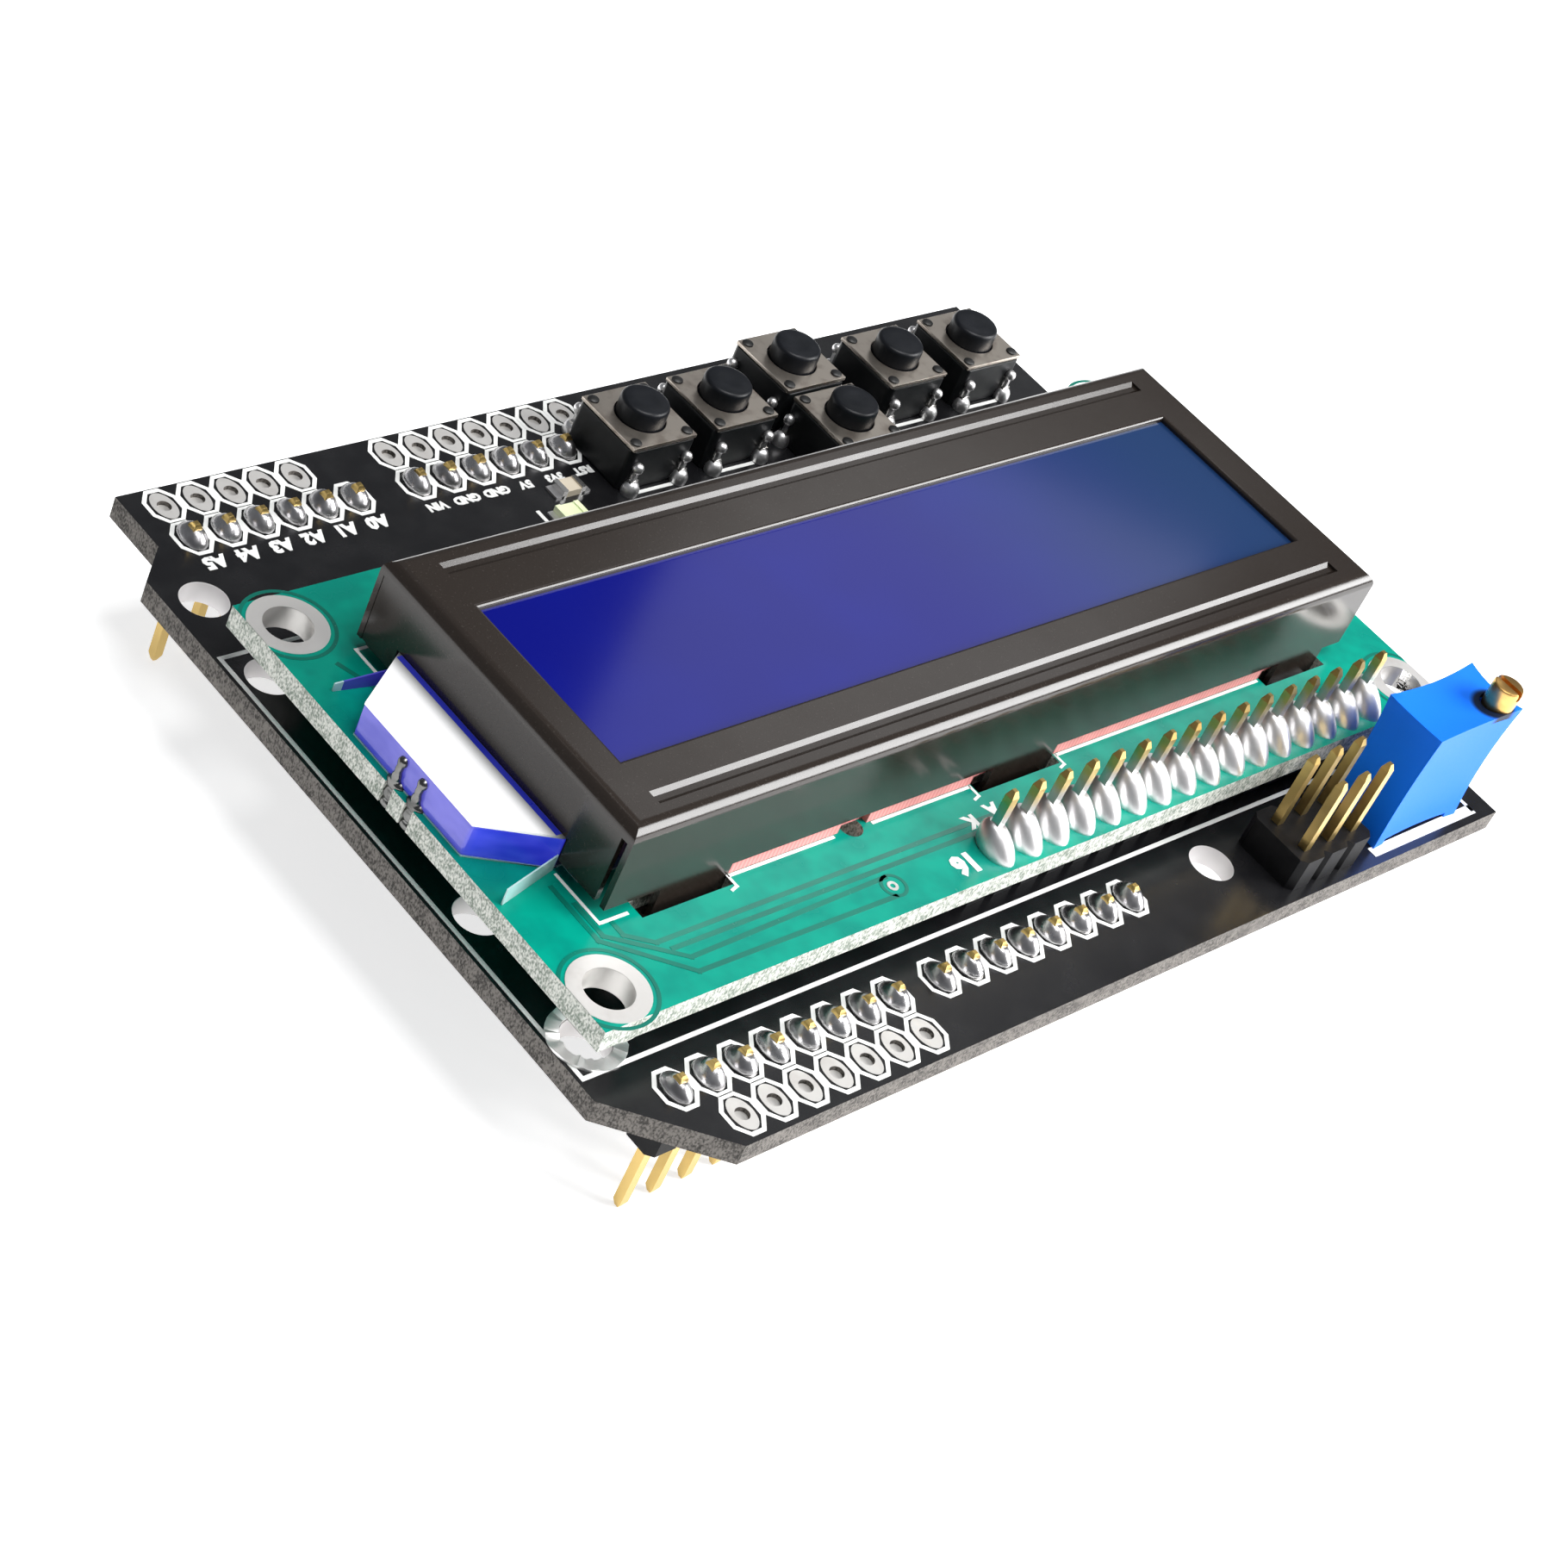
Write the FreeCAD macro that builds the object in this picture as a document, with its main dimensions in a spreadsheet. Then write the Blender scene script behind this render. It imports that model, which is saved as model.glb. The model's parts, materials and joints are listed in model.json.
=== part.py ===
import FreeCAD, Part
import os
import Sketcher

# A sixteen-by-two character display shield with six keys. Millimetres, +Z up.
# The origin is the middle of the shield board, on the plane of the pin tips it stands on.

SIZES = {
    # shield board
    "board_length": 80.0,
    "board_width": 58.0,
    "board_thick": 1.6,
    "step_in": 2.54,
    "step_run": 4.8,
    "step_slope": 2.5,
    "corner_cut": 6.24,
    "screw_hole_radius": 1.6,
    "screw_hole_in": 2.54,
    "screw_hole_rise": 5.08,
    "screw_hole_drop": 15.24,
    "screw_hole_back": 50.8,
    # pin headers under the shield board
    "pitch": 2.54,
    "rows_apart": 48.26,
    "rows_shift": -0.13,
    "first_pin_in": 5.08,
    "long_count": 8,
    "short_count": 6,
    "header_gap": 4.064,
    "power_gap": 5.08,
    "pin_wide": 0.64,
    "pin_taper": 0.5,
    "pin_tip_wide": 0.3,
    "pin_free": 6.0,
    "pin_above": 1.9,
    "base_height": 2.54,
    "base_wide": 2.5,
    "base_notch": 0.45,
    "joint_radius": 0.95,
    "joint_height": 1.15,
    "joint_neck": 0.48,
    "joint_rim": 0.1,
    # spare plated pads beside the header rows
    "pad_row_out": 3.07,
    "pad_hole_radius": 0.5,
    "pads_long": 7,
    "pads_short": 5,
    # programming header, two rows of three
    "prog_x": -20.66,
    "prog_y": 25.67,
    "prog_count": 3,
    "prog_pin_above": 8.5,
    "solder_tail": 1.3,
    # display board
    "lcd_length": 79.6,
    "lcd_width": 36.0,
    "lcd_thick": 1.6,
    "lcd_shift": 3.4,
    "lcd_holes_x": 75.0,
    "lcd_holes_y": 31.0,
    "lcd_hole_radius": 1.6,
    "lcd_first_pin": 5.5,
    "lcd_pins": 16,
    "lcd_pin_above": 4.5,
    # bezel, folded sheet
    "bezel_length": 69.3,
    "bezel_width": 23.9,
    "bezel_height": 6.96,
    "bezel_x": 0.1,
    "bezel_y": -0.75,
    "sheet": 0.4,
    "bezel_round": 0.9,
    "long_wall_gap": 0.9,
    "seam": 0.5,
    "seam_drop": 1.1,
    "window_length": 62.8,
    "window_width": 13.4,
    "window_x": 0.3,
    "window_y": 0.15,
    "groove_length": 63.5,
    "groove_wide": 1.0,
    "groove_floor": 0.4,
    "groove_deep": 0.2,
    "groove_in": 2.0,
    # slots in the display board and the bezel tabs that clamp through them
    "slot_wide": 1.75,
    "slot_outside": 0.75,
    "slot_length_a": 7.4,
    "slot_x_a": 28.3,
    "slot_length_b": 7.8,
    "slot_x_b": -0.5,
    "slot_length_c": 6.6,
    "slot_x_c": -29.3,
    "tab_spare": 1.7,
    "tab_foot": 1.4,
    "peg_hole_x": 14.1,
    "peg_hole_radius": 0.8,
    # display cell: polariser, two glass plates, rubber contact strips
    "polariser": 0.25,
    "glass": 1.1,
    "cell_gap": 0.4,
    "rear_glass_wide": 17.4,
    "strip_wide": 1.8,
    "strip_length": 60.0,
    "strip_gap": 0.08,
    "strip_foot": 0.8,
    "strip_clear": 0.05,
    "strip_break": 2.4,
    # backlight
    "guide_thick": 2.3,
    "guide_wide": 18.0,
    "diffuser": 0.16,
    "film": 0.1,
    "nose_root": 16.0,
    "nose_tip": 10.35,
    "nose_y": 2.2,
    "nose_out": 4.6,
    "ear_length": 3.6,
    "ear_height": 1.2,
    "lead_wide": 0.5,
    "lead_thick": 0.3,
    "lead_pitch": 1.9,
    "lead_y": 1.2,
    "lead_high": 1.5,
    "lead_out": 0.5,
    "lead_tail": 0.6,
    "lead_notch": 0.65,
    # moulded chips under the display board
    "blob_radius": 6.5,
    "blob_high": 1.3,
    "blob_x": 16.0,
    # contrast trimmer
    "trim_length": 9.53,
    "trim_wide": 4.83,
    "trim_high": 10.03,
    "trim_x": -31.5,
    "trim_y": 25.4,
    "trim_foot": 0.4,
    "trim_foot_wide": 1.2,
    "trim_pin": 0.5,
    "trim_screw_in": 1.27,
    "trim_screw_y": 1.16,
    "trim_screw_radius": 1.1,
    "trim_screw_out": 1.5,
    "trim_screw_deep": 0.7,
    "trim_screw_gap": 0.1,
    "trim_slot_wide": 0.45,
    "trim_slot_deep": 0.6,
    # keys
    "key_side": 6.0,
    "key_high": 3.3,
    "key_floor": 1.2,
    "key_well": 2.45,
    "key_corner": 0.4,
    "cover_thick": 0.3,
    "cover_inset": 0.1,
    "plunger_radius": 1.75,
    "plunger_gap": 0.1,
    "plunger_high": 5.0,
    "flange_radius": 2.25,
    "flange_thick": 0.8,
    "nub_radius": 1.0,
    "nub_drop": 0.65,
    "dome_radius": 2.3,
    "dome_foot": 0.3,
    "dome_rise": 0.25,
    "dome_thick": 0.1,
    "leg_wide": 0.7,
    "leg_thick": 0.3,
    "leg_spread": 4.5,
    "leg_rows": 6.5,
    "leg_start": 1.1,
    "key_row_y": -22.3,
    "key_x_select": -32.88,
    "key_x_left": -24.78,
    "key_x_middle": -15.88,
    "key_x_right": -7.38,
    "key_x_reset": 0.42,
    "key_middle_y": -21.0,
    "key_middle_apart": 6.4,
    # small parts on the shield board
    "chip_length": 2.0,
    "chip_wide": 1.25,
    "chip_high": 0.6,
    "chip_cap": 0.4,
    "lamp_x": 8.5,
    "lamp_y": -18.4,
    "resistor_x": 6.9,
    "resistor_y": -20.6,
}

doc = FreeCAD.newDocument("display_shield")
sheet = doc.addObject("Spreadsheet::Sheet", "sizes")
for line, (alias, size) in enumerate(SIZES.items(), 1):
    sheet.set(f"A{line}", alias)
    sheet.set(f"B{line}", str(size))
    sheet.setAlias(f"B{line}", alias)
doc.recompute()

# Heights and places that several pieces share, as expressions on the sheet
UNDER = "(sizes.pin_free + sizes.base_height)"
TOP = f"({UNDER} + sizes.board_thick)"
LCD_UNDER = f"({TOP} + sizes.base_height)"
LCD_TOP = f"({LCD_UNDER} + sizes.lcd_thick)"
BEZEL_TOP = f"({LCD_TOP} + sizes.bezel_height)"
CELL_TOP = f"({BEZEL_TOP} - sizes.sheet)"
LEDGE = f"({CELL_TOP} - sizes.polariser - sizes.glass)"
GUIDE_UNDER = f"({LCD_TOP} + sizes.film)"
GUIDE_TOP = f"({GUIDE_UNDER} + sizes.guide_thick)"
DIGITAL_Y = "(sizes.rows_shift + sizes.rows_apart / 2)"
ANALOG_Y = "(sizes.rows_shift - sizes.rows_apart / 2)"
FIRST_X = "(sizes.board_length / 2 - sizes.first_pin_in)"
HIGH_X = f"({FIRST_X} - (sizes.long_count - 1) * sizes.pitch - sizes.header_gap)"
POWER_X = f"({FIRST_X} - (sizes.short_count - 1) * sizes.pitch - sizes.power_gap)"
BEZEL_Y = "(sizes.lcd_shift + sizes.bezel_y)"
LCD_ROW_Y = "(sizes.lcd_shift + sizes.lcd_holes_y / 2)"
LCD_LAST_X = "(sizes.lcd_first_pin - sizes.lcd_holes_x / 2 + (sizes.lcd_pins - 1) * sizes.pitch)"
PROG_X = "(sizes.prog_x + (sizes.prog_count - 1) * sizes.pitch / 2)"
PROG_ROWS = 2
TAIL = f"({UNDER} - sizes.solder_tail)"
PIN_HALF = "(sizes.pin_wide / 2)"

# name: number of pins, x of the first pin, y of the row
HEADERS = {
    "digital_low": ("long_count", FIRST_X, DIGITAL_Y),
    "digital_high": ("long_count", HIGH_X, DIGITAL_Y),
    "analog": ("short_count", FIRST_X, ANALOG_Y),
    "power": ("short_count", POWER_X, ANALOG_Y),
}

# name: x, y, whether the legs leave from the sides that face along X
KEYS = {
    "select": ("sizes.key_x_select", "sizes.key_row_y", False),
    "left": ("sizes.key_x_left", "sizes.key_row_y", False),
    "up": ("sizes.key_x_middle", "(sizes.key_middle_y + sizes.key_middle_apart / 2)", True),
    "down": ("sizes.key_x_middle", "(sizes.key_middle_y - sizes.key_middle_apart / 2)", True),
    "right": ("sizes.key_x_right", "sizes.key_row_y", False),
    "reset": ("sizes.key_x_reset", "sizes.key_row_y", False),
}

PIECES = []


def worth(expression):
    """The number that an expression on the sheet has now."""
    found = sheet.evalExpression(expression)
    return float(getattr(found, "Value", found))


def new_body(label):
    """A body for one node; its solids may lie apart."""
    body = doc.addObject("PartDesign::Body", label)
    body.Label = label
    body.AllowCompound = True
    PIECES.append(body)
    return body


def origin_part(body, role):
    return [part for part in body.Origin.OriginFeatures if part.Role == role][0]


def sketch_on(body, role, lift="0"):
    """An empty sketch on an origin plane, moved along the plane's normal."""
    sketch = body.newObject("Sketcher::SketchObject", body.Name + "_sketch")
    sketch.AttachmentSupport = [(origin_part(body, role), "")]
    sketch.MapMode = "FlatFace"
    sketch.setExpression("AttachmentOffset.Base.z", lift)
    return sketch


def held_by(sketch, rules):
    """Adds constraints in one go and binds each one's size to its expression."""
    start = sketch.ConstraintCount
    kinds = []
    for kind, where, expression in rules:
        size = () if expression is None else (worth(expression),)
        kinds.append(Sketcher.Constraint(kind, *where, *size))
    sketch.addConstraint(kinds)
    for number, (_, _, expression) in enumerate(rules, start):
        if expression is not None:
            sketch.setExpression(f"Constraints[{number}]", expression)


def outline(sketch, corners):
    """A closed outline of straight edges, each corner held from the sketch's origin."""
    spots = [FreeCAD.Vector(worth(x), worth(y), 0) for x, y in corners]
    first = sketch.GeometryCount
    total = len(spots)
    ends = spots[1:] + spots[:1]
    sketch.addGeometry([Part.LineSegment(start, end) for start, end in zip(spots, ends)])
    rules = []
    for number, (x, y) in enumerate(corners):
        after = first + (number + 1) % total
        rules.append(("Coincident", (first + number, 2, after, 1), None))
        rules.append(("DistanceX", (-1, 1, first + number, 1), x))
        rules.append(("DistanceY", (-1, 1, first + number, 1), y))
    held_by(sketch, rules)


def rectangle(sketch, x, y, wide, deep):
    """An upright rectangle about a centre."""
    low_x, high_x = f"{x} - ({wide}) / 2", f"{x} + ({wide}) / 2"
    low_y, high_y = f"{y} - ({deep}) / 2", f"{y} + ({deep}) / 2"
    outline(sketch, [(low_x, low_y), (high_x, low_y), (high_x, high_y), (low_x, high_y)])


def circle(sketch, x, y, radius):
    centre = FreeCAD.Vector(worth(x), worth(y), 0)
    ring = sketch.addGeometry(Part.Circle(centre, FreeCAD.Vector(0, 0, 1), worth(radius)))
    held_by(sketch, [
        ("DistanceX", (-1, 1, ring, 3), x),
        ("DistanceY", (-1, 1, ring, 3), y),
        ("Radius", (ring,), radius),
    ])


def octagon(sketch, x, y, radius):
    """Eight corners at one distance from a centre."""
    skew = f"{radius} * sqrt(2) / 2"
    ring = [("0", radius), (skew, skew), (radius, "0"), (skew, f"-{skew}"),
            ("0", f"-{radius}"), (f"-{skew}", f"-{skew}"), (f"-{radius}", "0"), (f"-{skew}", skew)]
    outline(sketch, [(f"{x} + {a}", f"{y} + {b}") for a, b in ring])


def pad(body, sketch, length, both_ways=False):
    feature = body.newObject("PartDesign::Pad", body.Name + "_pad")
    feature.Profile = sketch
    feature.setExpression("Length", length)
    if both_ways:
        feature.SideType = "Symmetric"
    doc.recompute()
    return feature


def pocket(body, sketch, depth, upwards=False, both_ways=False):
    """Cuts downwards from the sketch, or upwards; checks that it removed something."""
    before = body.Shape.Volume
    feature = body.newObject("PartDesign::Pocket", body.Name + "_pocket")
    feature.Profile = sketch
    feature.Reversed = upwards
    if both_ways:
        feature.SideType = "Symmetric"
    feature.setExpression("Length", depth)
    doc.recompute()
    if not body.Shape.Volume < before:
        raise ValueError(f"{feature.Name} cuts nothing")
    return feature


def repeat(body, features, step):
    """Copies of features, or of the whole body, by a step: axis, count, spacing and way."""
    axis, count, spacing, backwards = step
    pattern = body.newObject("PartDesign::LinearPattern", body.Name + "_pattern")
    if features:
        pattern.Originals = features
    else:
        pattern.TransformMode = "Whole shape"
    pattern.Direction = (origin_part(body, axis), [""])
    pattern.Mode = "Spacing"
    pattern.Reversed = backwards
    pattern.setExpression("Offset", spacing)
    pattern.setExpression("Occurrences", count)
    body.Tip = pattern
    doc.recompute()


def along_row(count):
    """The step from pin to pin towards -X."""
    return ("X_Axis", f"sizes.{count}", "sizes.pitch", True)


def rows_of_holes(body, count, starts, top, thick, radius=None):
    """Rows with the same number of pin-sized square holes, or of wider ones, through a board."""
    sketch = sketch_on(body, "XY_Plane", top)
    for x, y in starts:
        if radius:
            octagon(sketch, x, y, radius)
        else:
            rectangle(sketch, x, y, "sizes.pin_wide", "sizes.pin_wide")
    repeat(body, [pocket(body, sketch, thick)], along_row(count))


def block(label, x, y, z, wide, deep, high):
    """A plain plate or block, centred on x and y."""
    box = doc.addObject("Part::Box", label)
    box.Label = label
    box.setExpression("Length", wide)
    box.setExpression("Width", deep)
    box.setExpression("Height", high)
    box.setExpression("Placement.Base.x", f"{x} - ({wide}) / 2")
    box.setExpression("Placement.Base.y", f"{y} - ({deep}) / 2")
    box.setExpression("Placement.Base.z", z)
    return box


def cylinder(label, x, y, z, radius, high):
    rod = doc.addObject("Part::Cylinder", label)
    rod.Label = label
    rod.setExpression("Radius", radius)
    rod.setExpression("Height", high)
    rod.setExpression("Placement.Base.x", x)
    rod.setExpression("Placement.Base.y", y)
    rod.setExpression("Placement.Base.z", z)
    return rod


def shield_board():
    """The black board, stepped and cut at the corners like the board it plugs into."""
    body = new_body("shield_board")
    right, top = "sizes.board_length / 2", "sizes.board_width / 2"
    left, low = "-sizes.board_length / 2", "-sizes.board_width / 2"
    inner = f"{right} - sizes.step_in"
    sketch = sketch_on(body, "XY_Plane", UNDER)
    outline(sketch, [
        (left, low),
        (inner, low),
        (inner, f"{low} + sizes.step_run"),
        (right, f"{low} + sizes.step_run + sizes.step_slope"),
        (right, f"{top} - sizes.corner_cut"),
        (f"{right} - sizes.corner_cut", top),
        (left, top),
    ])
    hole_x = f"({right} - sizes.screw_hole_in)"
    circle(sketch, hole_x, f"{ANALOG_Y} + sizes.screw_hole_rise", "sizes.screw_hole_radius")
    circle(sketch, hole_x, f"{DIGITAL_Y} - sizes.screw_hole_drop", "sizes.screw_hole_radius")
    circle(sketch, f"{hole_x} - sizes.screw_hole_back", DIGITAL_Y, "sizes.screw_hole_radius")
    for x, y in lcd_hole_places():
        circle(sketch, x, y, "sizes.lcd_hole_radius")
    pad(body, sketch, "sizes.board_thick")

    legs = sketch_on(body, "XY_Plane", TOP)
    for x, y, sideways in KEYS.values():
        section = ("sizes.leg_thick", "sizes.leg_wide")
        if not sideways:
            section = section[::-1]
        for leg_x, leg_y in leg_places(x, y, sideways):
            rectangle(legs, leg_x, leg_y, *section)
    for x in trim_pin_places():
        rectangle(legs, x, "sizes.trim_y", "sizes.trim_pin", "sizes.trim_pin")
    pocket(body, legs, "sizes.board_thick")

    thick = "sizes.board_thick"
    pads_y = f"({ANALOG_Y} - sizes.pad_row_out)"
    for count in ("long_count", "short_count"):
        starts = [(x, y) for number, x, y in HEADERS.values() if number == count]
        rows_of_holes(body, count, starts, TOP, thick)
    digital_pads = (f"{FIRST_X} - sizes.pitch", f"{DIGITAL_Y} + sizes.pad_row_out")
    pad_rows = [
        ("pads_long", [digital_pads, (POWER_X, pads_y)]),
        ("pads_short", [(FIRST_X, pads_y)]),
    ]
    for count, starts in pad_rows:
        rows_of_holes(body, count, starts, TOP, thick, "sizes.pad_hole_radius")
    rows_of_holes(body, "lcd_pins", [(LCD_LAST_X, LCD_ROW_Y)], TOP, thick)
    prog_starts = [(PROG_X, y) for y in row_places("sizes.prog_y", PROG_ROWS)]
    rows_of_holes(body, "prog_count", prog_starts, TOP, thick)


def lcd_hole_places():
    """The display board's four screw holes, which the shield board repeats below."""
    return [(f"{x}1 * sizes.lcd_holes_x / 2", f"sizes.lcd_shift {y} sizes.lcd_holes_y / 2")
            for x in "-+" for y in "-+"]


def leg_places(x, y, sideways):
    """The four places where a key's legs go through the shield board."""
    across, along = "sizes.leg_spread / 2", "sizes.leg_rows / 2"
    if sideways:
        across, along = along, across
    return [(f"{x} {a} {across}", f"{y} {b} {along}") for a in "-+" for b in "-+"]


def trim_pin_places():
    return [f"sizes.trim_x {step} sizes.pitch" for step in ("- 1 *", "+ 0 *", "+ 1 *")]


def row_places(y, rows):
    """The y of each row of a header whose middle is at y."""
    return [f"({y} + ({2 * row - rows + 1}) * sizes.pitch / 2)" for row in range(rows)]


def header_base(label, x, y, under, count, rows=1):
    """A moulded strip: one notched block for each column of pins, with the pins' holes."""
    body = new_body(label)
    half, notch = "sizes.pitch / 2", "sizes.base_notch"
    side = f"(sizes.base_wide / 2 + {rows - 1} * sizes.pitch / 2)"
    sketch = sketch_on(body, "XY_Plane", under)
    outline(sketch, [
        (f"{x} - {half}", f"{y} - {side} + {notch}"),
        (f"{x} - {half} + {notch}", f"{y} - {side}"),
        (f"{x} + {half} - {notch}", f"{y} - {side}"),
        (f"{x} + {half}", f"{y} - {side} + {notch}"),
        (f"{x} + {half}", f"{y} + {side} - {notch}"),
        (f"{x} + {half} - {notch}", f"{y} + {side}"),
        (f"{x} - {half} + {notch}", f"{y} + {side}"),
        (f"{x} - {half}", f"{y} + {side} - {notch}"),
    ])
    for row_y in row_places(y, rows):
        rectangle(sketch, x, row_y, "sizes.pin_wide", "sizes.pin_wide")
    strip = pad(body, sketch, "sizes.base_height")
    repeat(body, [strip], along_row(count))


def header_pins(label, x, y, low, high, count, rows=1):
    """Square pins with both ends drawn down to a blunt point."""
    body = new_body(label)
    made = []
    for row_y in row_places(y, rows):
        made += pin(body, x, row_y, low, high)
    repeat(body, made, along_row(count))


def pin(body, x, y, low, high):
    """One pin: its side outline, then the two other sides of its ends cut back."""
    half, end = PIN_HALF, "sizes.pin_tip_wide / 2"
    side = sketch_on(body, "XZ_Plane", f"-({y})")
    outline(side, [
        (f"{x} - {end}", low),
        (f"{x} + {end}", low),
        (f"{x} + {half}", f"{low} + sizes.pin_taper"),
        (f"{x} + {half}", f"{high} - sizes.pin_taper"),
        (f"{x} + {end}", high),
        (f"{x} - {end}", high),
        (f"{x} - {half}", f"{high} - sizes.pin_taper"),
        (f"{x} - {half}", f"{low} + sizes.pin_taper"),
    ])
    shank = pad(body, side, "sizes.pin_wide", both_ways=True)
    ends = sketch_on(body, "YZ_Plane", x)
    for way in "-+":
        edge = f"{y} {way} {half}"
        blunt = f"{y} {way} {end}"
        outline(ends, [(blunt, low), (edge, low), (edge, f"{low} + sizes.pin_taper")])
        outline(ends, [(blunt, high), (edge, high), (edge, f"{high} - sizes.pin_taper")])
    tips = pocket(body, ends, "2 * sizes.pin_wide", both_ways=True)
    return [shank, tips]


def solder_joints(label, x, y, under, count):
    """Cones of solder round the pins, eight-sided like the pads that they stand on."""
    body = new_body(label)
    foot = sketch_on(body, "XY_Plane", under)
    octagon(foot, x, y, "sizes.joint_radius")
    rectangle(foot, x, y, "sizes.pin_wide", "sizes.pin_wide")
    joint = pad(body, foot, "sizes.joint_height")
    crown = worth(f"{under} + sizes.joint_height")
    inside = worth("sizes.pin_wide")
    middle = FreeCAD.Vector(worth(x), worth(y), crown)
    rim = [f"Edge{number}" for number, edge in enumerate(joint.Shape.Edges, 1)
           if abs(edge.BoundBox.ZMin - crown) < 1e-6
           and edge.CenterOfMass.distanceToPoint(middle) > inside]
    cone = body.newObject("PartDesign::Chamfer", label + "_cone")
    cone.Base = (joint, rim)
    cone.ChamferType = "Two distances"
    cone.setExpression("Size", "sizes.joint_height - sizes.joint_rim")
    cone.setExpression("Size2", "(sizes.joint_radius - sizes.joint_neck) * cos(22.5 deg)")
    doc.recompute()
    repeat(body, [], along_row(count))


def shield_headers():
    """The four headers that plug into the board below."""
    for name, (count, x, y) in HEADERS.items():
        header_base(name + "_base", x, y, "sizes.pin_free", count)
        header_pins(name + "_pins", x, y, "0", f"{TOP} + sizes.pin_above", count)
        solder_joints(name + "_solder", x, y, TOP, count)


def programming_header():
    """Two rows of three long pins that stand up beside the trimmer."""
    high = f"{TOP} + sizes.prog_pin_above"
    header_base("programming_base", PROG_X, "sizes.prog_y", TOP, "prog_count", PROG_ROWS)
    header_pins("programming_pins", PROG_X, "sizes.prog_y", TAIL, high, "prog_count", PROG_ROWS)


def display_header():
    """Sixteen pins that carry the display board above the shield board."""
    high = f"{LCD_TOP} + sizes.lcd_pin_above"
    header_base("display_base", LCD_LAST_X, LCD_ROW_Y, TOP, "lcd_pins")
    header_pins("display_pins", LCD_LAST_X, LCD_ROW_Y, TAIL, high, "lcd_pins")
    solder_joints("display_solder", LCD_LAST_X, LCD_ROW_Y, LCD_TOP, "lcd_pins")


def slot_places():
    """Centre and length of each clamp slot, the same on both long sides."""
    return [(f"sizes.slot_x_{mark}", f"sizes.slot_length_{mark}") for mark in "abc"]


def display_board():
    """The green board, with slots for the bezel's tabs and notches for the lamp's leads."""
    body = new_body("display_board")
    end, mid = "sizes.lcd_length / 2", "sizes.lcd_shift"
    sketch = sketch_on(body, "XY_Plane", LCD_UNDER)
    rectangle(sketch, "0", mid, "sizes.lcd_length", "sizes.lcd_width")
    for x, y in lcd_hole_places():
        circle(sketch, x, y, "sizes.lcd_hole_radius")
    pad(body, sketch, "sizes.lcd_thick")

    slots = sketch_on(body, "XY_Plane", LCD_TOP)
    reach = "(sizes.bezel_width / 2 + sizes.slot_outside - sizes.slot_wide / 2)"
    for way in "-+":
        for x, length in slot_places():
            rectangle(slots, x, f"{BEZEL_Y} {way} {reach}", length, "sizes.slot_wide")
        circle(slots, "sizes.peg_hole_x", f"{BEZEL_Y} {way} {reach}", "sizes.peg_hole_radius")
    for lead in ("0 *", "1 *"):
        y = f"(sizes.lead_y + {lead} sizes.lead_pitch)"
        rectangle(slots, end, y, "2 * sizes.lead_notch", "sizes.lead_wide + 0.4 * sizes.lead_notch")
    pocket(body, slots, "sizes.lcd_thick")
    rows_of_holes(body, "lcd_pins", [(LCD_LAST_X, LCD_ROW_Y)], LCD_TOP, "sizes.lcd_thick")


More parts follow.
